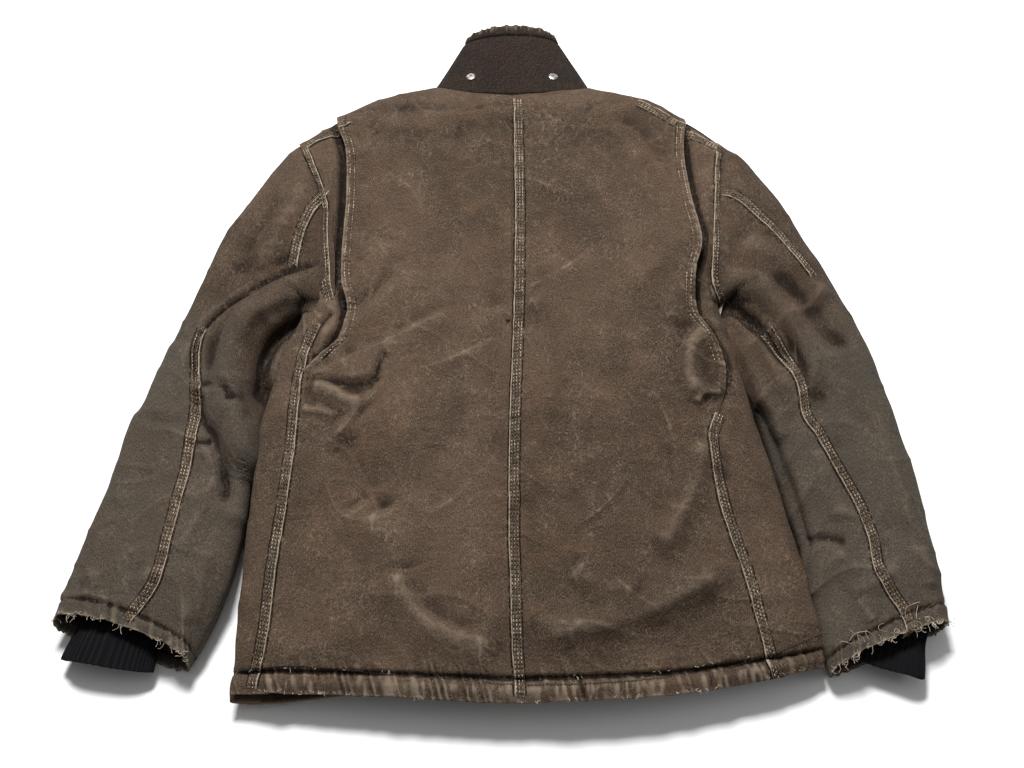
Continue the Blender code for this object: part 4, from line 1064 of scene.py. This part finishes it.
BROWN, RUBBED, DARK = (0.070, 0.0455, 0.0305), (0.235, 0.183, 0.135), (0.011, 0.007, 0.005)
CANVAS = canvas_look("worn_brown_canvas", BROWN, RUBBED, DARK)
SLEEVE_CANVAS = canvas_look("sleeve_canvas", tuple(0.84 * c for c in BROWN),
                            tuple(0.84 * c for c in RUBBED), DARK)
SEAM_CANVAS = canvas_look("seam_canvas", (0.056, 0.037, 0.025), (0.46, 0.37, 0.27),
                          (0.005, 0.003, 0.0022), hairs=0.5)
COLLAR_CANVAS = canvas_look("collar_canvas", (0.0150, 0.0103, 0.0084), (0.115, 0.085, 0.063),
                            (0.0028, 0.0020, 0.0016), hairs=0.30)
POCKET_CANVAS = canvas_look("pocket_canvas", BROWN, RUBBED, DARK)
CORDUROY = canvas_look("corduroy_facing", (0.050, 0.031, 0.021), (0.12, 0.08, 0.055),
                       (0.012, 0.007, 0.005), hairs=0.1,
                       threads=420.0, sheen=0.06)
LINING = canvas_look("quilted_lining", (0.030, 0.027, 0.026), (0.075, 0.068, 0.064),
                     (0.010, 0.009, 0.009), hairs=0.15,
                     threads=2600.0, sheen=0.03)
TAPE = canvas_look("zip_tape", (0.050, 0.034, 0.024), (0.12, 0.09, 0.065),
                   (0.014, 0.009, 0.006), hairs=0.1, threads=2200.0)
KNIT = knit_look("rib_knit", (0.0040, 0.0041, 0.0052))
THREAD = thread_look("seam_thread", (0.11, 0.078, 0.052), (0.54, 0.44, 0.32))
DARK_THREAD = thread_look("hem_thread", (0.022, 0.014, 0.010), (0.05, 0.035, 0.025))
FRAY = thread_look("frayed_thread", (0.36, 0.30, 0.22), (0.68, 0.60, 0.48))
BRASS = metal_look("aged_brass", (0.62, 0.43, 0.19), (0.22, 0.13, 0.06))
NICKEL = metal_look("nickel_snap", (0.72, 0.70, 0.66), (0.40, 0.36, 0.31), 0.24)

# ---------------------------------------------------------------- camera, floor and light
def aimed(obj, place, at):
    obj.location = place
    obj.rotation_euler = (Vector(at) - Vector(place)).to_track_quat("-Z", "Y").to_euler()


camera = bpy.data.objects.new("camera", bpy.data.cameras.new("camera"))
bpy.context.scene.collection.objects.link(camera)
camera.data.lens, camera.data.sensor_width = 50.0, 36.0
camera.data.clip_start, camera.data.clip_end = 0.02, 50.0
aimed(camera, (0, -0.825, 1.454), (0, -0.052, 0))
bpy.context.scene.camera = camera
bpy.context.scene.view_settings.view_transform = "Standard"

bm = bmesh.new()
bmesh.ops.create_grid(bm, x_segments=8, y_segments=8, size=6.0)
bmesh.ops.translate(bm, verts=bm.verts, vec=(0, 0, -0.0002))
floor_mesh = bpy.data.meshes.new("floor")
bm.to_mesh(floor_mesh)
bm.free()
floor = finished(floor_mesh, "floor", floor_look(), None)


def softbox(name, place, aim, size, power):
    light = bpy.data.objects.new(name, bpy.data.lights.new(name, "AREA"))
    bpy.context.scene.collection.objects.link(light)
    light.data.shape, light.data.energy = "RECTANGLE", power
    light.data.size, light.data.size_y = size
    aimed(light, place, aim)


softbox("key_beyond_collar", (-0.36, 1.35, 2.6), (0, 0.0, 0), (0.8, 0.6), 132)
softbox("top_fill", (0.2, 0.2, 2.6), (0, 0, 0), (2.2, 2.2), 8)
softbox("side_fill", (2.2, -0.4, 1.5), (0, 0, 0), (1.2, 1.2), 5)
world = bpy.data.worlds.new("studio")
bpy.context.scene.world = world
world.use_nodes = True
world.node_tree.nodes["Background"].inputs["Color"].default_value = (1, 1, 1, 1)
world.node_tree.nodes["Background"].inputs["Strength"].default_value = 0.14

# ---------------------------------------------------------------- the jacket's pieces
made = {}
for side, word in SIDES:
    for maker, node in (
        (back_panel, f"back_panel_{word}"),
        (side_piece, f"side_panel_{word}"),
        (front_panel, f"front_panel_{word}"),
    ):
        made[node] = maker(side, CANVAS)
        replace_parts(made[node], node)
    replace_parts(made[f"side_panel_{word}"], f"pleat_panel_{word}")
    for half in ("outer", "under"):
        made[f"sleeve_{word}_{half}"] = sleeve_panel(side, half, SLEEVE_CANVAS)
        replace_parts(made[f"sleeve_{word}_{half}"], f"sleeve_{word}_{half}")
    made[f"knit_cuff_{word}"] = knit_cuff(side, KNIT)
    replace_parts(made[f"knit_cuff_{word}"], f"knit_cuff_{word}")
made["collar_outer"] = collar_piece("collar_outer", COLLAR_CANVAS, 0.0, 0.0, 1.0, 0.12, FINE)
made["collar_facing"] = collar_piece("collar_facing", CORDUROY, 0.0044, 0.03, 0.97, 0.0, 0.003)
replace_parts(made["collar_outer"], "collar_outer")
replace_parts(made["collar_facing"], "collar_facing")


# ---------------------------------------------------------------- lining, pockets and zip
def quilting(x, y):
    """Diamond quilting: lines of stitches with puffs between them."""
    a, b = (x + y) / 0.055 * np.pi, (x - y) / 0.055 * np.pi
    return 0.0022 * (np.abs(np.sin(a)) ** 0.5 * np.abs(np.sin(b)) ** 0.5) - 0.0011


def body_lining(side, half, look):
    """Quilted lining of the back and side, or of the front, set in from the shell."""
    def shape(u, v):
        low, high = HEM_Y + 0.026, 0.306 if half == "back" else 0.296
        y = low + v * (high - low)
        half_w = half_width(side, y)
        at_arm = np.minimum(ARMHOLE[side](y) - 0.004, half_w * 0.99)
        beside = smooth(0.006, 0.03, y) * smooth(0.27, 0.25, y)
        if half == "back":
            start, end = np.full(len(y), 90.0), np.where(y > 0.25, 12.0, -40.0)
            end = end + (angle_of(side, y, at_arm) - end) * beside
            start = np.minimum(start, angle_of(side, y, neck_at(y, BACK_NECK - 0.004)))
        else:
            inner = np.where(y > FRONT_NECK, np.maximum(neck_at(y, FRONT_NECK), 0.014), 0.014)
            start, end = angle_of(side, y, inner, front=True), np.where(y > 0.25, -8.0, -44.0)
            end = end + (angle_of(side, y, at_arm, front=True) - end) * beside
        angle = start + (end - start) * u
        points = body_at(side, y, angle, 0.0085 if half == "back" else 0.0025)
        puff = quilting(points[:, 0], y)
        upper = smooth(-20, 30, angle)
        sag = np.minimum(back_relief(points[:, 0], y, y * 0 + 0.3), 0.001) * upper
        sag -= 1.2 * smooth(0.0, 0.004, recess(side, points[:, 0], y)) * 0.012
        return push(points, angle, side, puff - 0.0014 + sag)

    obj = cloth(f"lining_{half}_{WORD[side]}", 90, 190, shape, look,
                outward=(0, 0, 1 if half == "front" else -1))
    return thick(obj, 0.0022 if half == "back" else 0.0018, -1)


def thick(obj, wall, way=1):
    """Gives a sheet its thickness, behind its outer face."""
    solid = obj.modifiers.new("thickness", "SOLIDIFY")
    solid.thickness, solid.offset = wall, way
    return obj


def sleeve_lining(side, half, look):
    def shape(u, v):
        t = 0.03 + 0.93 * v
        seam = SEAM_TURN[side](t)
        turn = -90 + (seam + 90) * u if half == "outer" else seam + (270 - seam) * u
        points = sleeve_at(side, t, turn, 0.0065)
        points[:, 2] = np.maximum(points[:, 2] - 0.0015 + 0.6 * quilting(points[:, 0], points[:, 1]),
                                  0.0045)
        return points

    obj = cloth(f"sleeve_lining_{WORD[side]}_{half}", 70, 150, shape, look, outward=(0, 0, -1), body=None)
    return bend(thick(obj, 0.0016, 0), side)


def patch(name, box, look, body, face=-1, tuck=0.0045, sides=3, relief=0.0007, wall=0.0012):
    """A patch of cloth with turned edges, on the panel beneath it. face is -1 where it looks down."""
    low, high = box
    width, length = high[0] - low[0], high[1] - low[1]

    def shape(u, v):
        x, y = low[0] + width * u, low[1] + length * v
        edge = np.minimum(np.minimum(u, 1 - u) * width, v * length)
        if sides == 4:
            edge = np.minimum(edge, (1 - v) * length)
        rise = np.sqrt(smooth(0, tuck, edge))
        puff = relief * field(x, y, 0.035, 101) + 0.0006 * ripple(x + y, 102) * smooth(0.014, 0.004, edge)
        puff -= 0.0006 * hump(edge, 0.0075, 0.0016)
        if face < 0:
            z = high[2] - (high[2] - low[2] - 0.0008) * rise - puff * rise
            z = np.maximum(z, 0.0004)
        else:
            z = low[2] + (high[2] - low[2] - 0.0004) * rise + puff * rise
        # Pale on the rubbed edges; painted shade along the groove inside them.
        rubbing_and_shade = 0.65 * hump(edge, 0, 0.003) - 0.2 * hump(edge, 0.0075, 0.002)
        return np.stack([x, y, z], 1), {"rubbing_and_shade": rubbing_and_shade}

    columns, rows = max(6, int(width / 0.0024)), max(4, int(length / 0.0024))
    obj = cloth(name, columns, rows, shape, look, outward=(0, 0, face), body=body)
    return thick(obj, wall, -1)


def chest_flap(side, look):
    word = WORD[side]
    low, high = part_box(f"chest_flap_{word}")
    width, length = high[0] - low[0], high[1] - low[1]

    def shape(u, v):
        x, y = low[0] + width * u, low[1] + length * v
        edge = np.minimum(np.minimum(u, 1 - u) * width, v * length)
        step = smooth(high[1] - 0.020, high[1] - 0.003, y)
        z = low[2] + 0.0007 + (high[2] - low[2] - 0.0014) * step + 0.0004 * field(x, y, 0.03, 111)
        return np.stack([x, y, z], 1), {"rubbing_and_shade": 0.6 * hump(edge, 0, 0.003)}

    obj = cloth(f"chest_flap_{word}", 60, 30, shape, look, outward=(0, 0, -1), body=f"{word}_chest_flap")
    return thick(obj, 0.0012, -1)


def blocks(name, look, body, frames):
    """Many small blocks as one piece: each frame is (place, three half-size vectors)."""
    bm = bmesh.new()
    for place, ax, ay, az in frames:
        box = bmesh.ops.create_cube(bm, size=2.0)["verts"]
        for vert in box:
            c = vert.co
            vert.co = place + ax * c.x + ay * c.y + az * c.z
            vert.co.z = max(vert.co.z, LOWEST)
    mesh = bpy.data.meshes.new(name)
    bm.to_mesh(mesh)
    bm.free()
    mesh.shade_smooth()
    return finished(mesh, name, look, body)


def zip_teeth(side, look):
    word = WORD[side]
    low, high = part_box(f"zip_chain_{word}")
    pitch = 0.0024
    count = int((high[1] - low[1]) / pitch)
    x, half = (low[0] + high[0]) / 2, (high[0] - low[0]) / 2
    middle, tall = (low[2] + high[2]) / 2, (high[2] - low[2]) * 0.48
    frames = []
    for k in range(count):
        y = low[1] + pitch * (k + (0.25 if side < 0 else 0.75))
        size = Vector((half, 0, 0)), Vector((0, 0.00062, 0)), Vector((0, 0, tall))
        frames.append((Vector((x, y, middle)), *size))
    return blocks(f"zip_teeth_{word}", look, "jacket", frames)


def stitches(name, rows, bvh, look, body, pitch=0.0042, length=0.0029, wide=0.0004, up=True):
    """Rows of stitches: each row is (plan curve in millimetres, offset from it in millimetres)."""
    frames = []
    for line, offset in rows:
        fine = spline(np.array(line) / 1000, 600)
        tangent = np.gradient(fine, axis=0)
        tangent /= np.linalg.norm(tangent, axis=1)[:, None]
        fine = fine + np.stack([-tangent[:, 1], tangent[:, 0]], 1) * offset / 1000
        run = np.concatenate([[0], np.cumsum(np.linalg.norm(np.diff(fine, axis=0), axis=1))])
        z = 0.05
        for at in np.arange(0.003, run[-1] - 0.002, pitch):
            x, y = np.interp(at, run, fine[:, 0]), np.interp(at, run, fine[:, 1])
            x2, y2 = np.interp(at + 0.0015, run, fine[:, 0]), np.interp(at + 0.0015, run, fine[:, 1])
            hit, normal = drop(bvh, x, y, z, up)
            ahead, _ = drop(bvh, x2, y2, hit.z, up)
            z = hit.z
            way = (ahead - hit).normalized()
            across = normal.cross(way).normalized()
            out = way.cross(across).normalized()
            if out.dot(normal) < 0:
                out = -out
            frames.append((hit, way * length / 2, across * wide, out * 0.00032))
    return blocks(name, look, body, frames)


# Across a felled seam: offsets in millimetres, the lift of each, and how rubbed each is; negative values are
# painted shade in the stitch grooves and along the seam's edges.
FELL = [-8.8, -7.9, -7.0, -6.5, -5.4, -4.4, -3.2, -1.6, -0.2, 1.0, 2.4, 3.6, 4.8, 5.9, 6.6, 7.2, 8.0, 9.0]
FELL_LIFT = [0.05, 0.12, 0.15, 0.3, 0.8, 0.15, 0.75, 0.85, 0.15, 0.75, 0.85, 0.20, 1.2, 1.9, 1.3, 0.15,
             0.12, 0.05]
FELL_RUBBING_AND_SHADE = [-0.1, -0.7, -1.0, 0.70, 0.10, -0.6, 0.0, 0.0, -0.6, 0.0, 0.0, -0.8, 0.3, 1.45, 0.5, -1.4, -1.2,
             -0.2]
CENTRE = [(7, 306), (9, 152), (8, 14), (4, -113), (2, -231), (4, -342), (8, -436)]
ARM_SEAM = {
    -1: [(-252, 229), (-231, 176), (-221, 140), (-219, 105), (-215, 68), (-213, 40), (-207, 20)],
    1: [(253, 233), (246, 184), (240, 112), (235, 60), (235, 40), (243, 27), (256, 20)],
}
SIDE_SEAM = {
    -1: [(-221, -8), (-231, -42), (-236, -75), (-238, -107), (-239, -156), (-243, -215), (-250, -294),
         (-255, -359), (-262, -404), (-264, -424)],
    1: [(227, -124), (217, -157), (223, -216), (233, -261), (247, -311), (257, -354), (266, -396),
        (272, -412)],
}
SHOULDER_SEAM = {
    -1: [(-196, 276), (-212, 264), (-232, 250), (-252, 234)],
    1: [(150, 303), (176, 290), (217, 262), (254, 238)],
}
SLEEVE_BANDS = {
    -1: [[(-216, 170), (-237, 132), (-248, 98), (-252, 60)], SLEEVE_SEAM[-1][6:]],
    1: [[(247, 164), (270, 152), (302, 119), (328, 81), (348, 50)], [(286, -14), (296, -34),
                                                                     (306, -60)] + SLEEVE_SEAM[1][7:]],
}


def fell(name, line, bvh, body="jacket", flip=1, up=True):
    """A flat-felled seam with its raised, rubbed edge, lower where its three rows of stitches go."""
    lifts, seam_rubbing_and_shade = (FELL_LIFT, FELL_RUBBING_AND_SHADE) if flip > 0 else (FELL_LIFT[::-1], FELL_RUBBING_AND_SHADE[::-1])
    offsets = [0.82 * a for a in FELL] if flip > 0 else [-0.82 * a for a in FELL[::-1]]
    return band(name, line, offsets, lifts, seam_rubbing_and_shade, bvh, SEAM_CANVAS, body, up=up)


shell_back = tree(*[made[f"{kind}_{word}"] for kind in ("back_panel", "side_panel") for word in ("left",
                                                                                                 "right")])
seam_rows = []
for name, line, flip in (
    ("centre_seam", CENTRE, -1),
    ("armhole_seam_left", ARM_SEAM[-1], 1),
    ("armhole_seam_right", ARM_SEAM[1], -1),
    ("side_seam_left", SIDE_SEAM[-1], 1),
    ("side_seam_right", SIDE_SEAM[1], -1),
    ("shoulder_seam_left", SHOULDER_SEAM[-1], 1),
    ("shoulder_seam_right", SHOULDER_SEAM[1], 1),
):
    made[name] = fell(name, line, shell_back, flip=flip)
    seam_rows += [(line, flip * at) for at in (-3.6, -0.2, 3.0)]
shell_seams = tree(*[made[k] for k in made if k.endswith("_seam") or "_seam_" in k])
made["seam_stitches"] = stitches("seam_stitches", seam_rows, shell_seams, THREAD, "jacket")
shell_front = tree(*[made[f"front_panel_{word}"] for word in ("left", "right")])
front_rows = [([(side * 22, y) for y in range(-405, 240, 40)], 0.0) for side in (-1, 1)]
front_rows += [([(side * 29, y) for y in range(-405, 240, 40)], 0.0) for side in (-1, 1)]
for side, word in SIDES:
    line = [(side * 237, 34), (side * 243, 90), (side * 249, 160), (side * 255, 225)]
    name = f"front_armhole_seam_{word}"
    made[name] = fell(name, line, shell_front, flip=side, up=False)
    front_rows += [(line, at) for at in (-3.4, 0.0, 3.4)]
    front_rows.append(([(side * x, -413 + (4 if x > 60 else 8)) for x in range(30, 250, 30)], 0.0))
front_seams = tree(*[made[k] for k in made if k.startswith("front_")])
made["front_stitches"] = stitches("front_stitches", front_rows, front_seams, THREAD, "jacket", up=False)
for side, word in SIDES:
    for kind in ("lower_pocket", "chest_pocket"):
        low, high = (Vector(at) * 1000 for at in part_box(f"{kind}_{word}"))
        rows = []
        last = high.y if kind == "lower_pocket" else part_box(f"chest_flap_{word}")[0][1] * 1000 - 3
        for inset in (3.0, 8.0):
            rows += [([(low.x + inset, y) for y in np.linspace(low.y + inset, last, 9)], 0.0),
                     ([(high.x - inset, y) for y in np.linspace(low.y + inset, last, 9)], 0.0),
                     ([(x, low.y + inset) for x in np.linspace(low.x + inset, high.x - inset, 9)], 0.0)]
        if kind == "lower_pocket":
            rows.append(([(x, high.y - 9) for x in np.linspace(low.x + 4, high.x - 4, 9)], 0.0))
        made[f"{kind}_{word}"] = patch(f"{kind}_{word}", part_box(f"{kind}_{word}"), POCKET_CANVAS, "jacket")
        name = f"{kind}_stitches_{word}"
        made[name] = stitches(name, rows, tree(made[f"{kind}_{word}"]), THREAD, "jacket", up=False)
pleat_rows = []
for side in (-1, 1):
    ys = np.linspace(0.268, -0.062, 22)
    for inset in (3.6, 8.6):
        pleat_rows.append(([(side * (PANEL_EDGE[side](y) * 1000 - inset), y * 1000) for y in ys], 0.0))
made["pleat_stitches"] = stitches("pleat_stitches", pleat_rows, shell_back, THREAD, "jacket")
made["hem_stitches"] = stitches("hem_stitches", [(HEM_STITCH, 0.0)], shell_back, DARK_THREAD, "jacket",
                                0.0036, 0.0028, 0.0008)

for side, word in SIDES:
    panels = tree(made[f"sleeve_{word}_outer"], made[f"sleeve_{word}_under"])
    rows = []
    for k, line in enumerate(SLEEVE_BANDS[side]):
        name = f"sleeve_seam_{word}_{k + 1}"
        made[name] = fell(name, line, panels, None, flip=-side)
        rows += [(line, -side * at) for at in (-3.6, -0.2, 3.0)]
    over = tree(*[made[f"sleeve_seam_{word}_{k}"] for k in (1, 2)])
    made[f"sleeve_stitches_{word}"] = stitches(f"sleeve_stitches_{word}", rows, over, THREAD, None)
    for name in (f"sleeve_seam_{word}_1", f"sleeve_seam_{word}_2", f"sleeve_stitches_{word}",
                 f"sleeve_{word}_outer", f"sleeve_{word}_under"):
        bend(made[name], side)
    for half in ("back", "front"):
        made[f"lining_{half}_{word}"] = body_lining(side, half, LINING)
        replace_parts(made[f"lining_{half}_{word}"], f"lining_{half}_{word}")
    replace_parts(made[f"lining_back_{word}"], f"lining_side_{word}")
    for half in ("outer", "under"):
        name = f"sleeve_lining_{word}_{half}"
        made[name] = sleeve_lining(side, half, LINING)
        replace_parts(made[name], name)
    for kind in ("lower_pocket", "chest_pocket"):
        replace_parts(made[f"{kind}_{word}"], f"{kind}_{word}")
    made[f"chest_flap_{word}"] = chest_flap(side, POCKET_CANVAS)
    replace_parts(made[f"chest_flap_{word}"], f"chest_flap_{word}")
    name = f"zip_tape_{word}"
    made[name] = patch(name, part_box(name), TAPE, "jacket", tuck=0.0008, relief=0.0, wall=0.0004)
    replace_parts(made[name], name)
    made[f"zip_chain_{word}"] = zip_teeth(side, BRASS)
    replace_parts(made[f"zip_chain_{word}"], f"zip_chain_{word}")
made["wind_flap"] = patch("wind_flap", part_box("wind_flap"), POCKET_CANVAS, "jacket", 1, 0.002, 4, 0.0003,
                          0.0008)
made["inner_pocket"] = patch("inner_pocket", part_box("inner_pocket"), LINING, "jacket", 1, 0.0015, 3, 0.0002,
                             0.0005)
for name in ("wind_flap", "inner_pocket"):
    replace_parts(made[name], name)


def hanger_loop(look):
    low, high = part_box("hanger_loop")
    width, length = high[0] - low[0], high[1] - low[1]

    def shape(u, v):
        x, y = low[0] + width * u, low[1] + 0.001 + (length - 0.002) * v
        sag = (high[2] - low[2] - 0.002) * np.sin(np.pi * u)
        return np.stack([x, y, high[2] - 0.001 - sag + 0.0004 * np.cos(v * 40)], 1)

    return thick(cloth("hanger_loop", 40, 8, shape, look, outward=(0, 0, -1)), 0.001, -1)


made["hanger_loop"] = hanger_loop(TAPE)
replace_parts(made["hanger_loop"], "hanger_loop")

for node in ("zip_top_stop_left", "zip_top_stop_right", "zip_box", "zip_slider", "zip_pull"):
    mesh = bpy.data.objects[node].data
    mesh.materials.clear()
    mesh.materials.append(BRASS)
for node in ("hood_snap_left", "hood_snap_right", "hood_snap_back_left", "hood_snap_back_right"):
    mesh = bpy.data.objects[node].data
    mesh.materials.clear()
    mesh.materials.append(NICKEL)


def frays(name, roots, ways, long, seed, body):
    """Loose threads: fine curled strands that start on a worn edge."""
    rng = np.random.default_rng(seed)
    curve = bpy.data.curves.new(name, "CURVE")
    curve.dimensions, curve.bevel_depth, curve.bevel_resolution, curve.resolution_u = "3D", 0.00024, 0, 2
    for root, way in zip(roots, ways):
        count, reach = 6, long * rng.uniform(0.35, 1.0)
        heading = math.atan2(way[1], way[0]) + rng.normal(0, 0.7)
        place = np.array(root, float)
        places = [place.copy()]
        bend_ = rng.normal(0, 0.55)
        for _ in range(count):
            heading += bend_ + rng.normal(0, 0.35)
            way_on = np.array([math.cos(heading), math.sin(heading), rng.normal(-0.05, 0.12)])
            place = place + way_on * reach / count
            place[2] = max(place[2], 0.0012)
            places.append(place.copy())
        line = curve.splines.new("NURBS")
        line.points.add(len(places) - 1)
        line.use_endpoint_u, line.order_u = True, 3
        for point, at in zip(line.points, places):
            point.co = (*at, 1)
    curve.materials.append(FRAY)
    obj = bpy.data.objects.new(name, curve)
    bpy.context.scene.collection.objects.link(obj)
    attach(obj, body)
    return obj


rng = np.random.default_rng(5)
for side, word, count in ((-1, "left", 60), (1, "right", 85)):
    turn = rng.uniform(12, 168, count)
    at = sleeve_at(side, np.full(count, 0.9985), turn)
    ways = np.stack([rng.normal(0, 0.5, count), -np.ones(count)], 1)
    made[f"cuff_frays_{word}"] = frays(f"cuff_frays_{word}", at, ways, 0.011, 40 + side, f"{word}_sleeve")
loops = sleeve_at(1, np.full(14, 0.985), np.linspace(120, 60, 14))
made["loose_threads_right"] = frays("loose_threads_right", loops, [(-0.3, 1.0)] * 14, 0.040, 44,
                                    "right_sleeve")
xs = np.concatenate([rng.uniform(-0.27, 0.30, 70), rng.normal(-0.20, 0.02, 18), rng.normal(0.16, 0.03, 16)])
edge = []
for x in xs:
    hit, _ = drop(shell_back, x, HEM_Y + float(BOW(x)) + rng.choice([0.002, 0.003, 0.026]))
    edge.append(hit)
ways = np.stack([rng.normal(0, 1, len(xs)), -0.4 * np.ones(len(xs))], 1)
made["hem_frays"] = frays("hem_frays", edge, ways, 0.006, 46, "jacket")
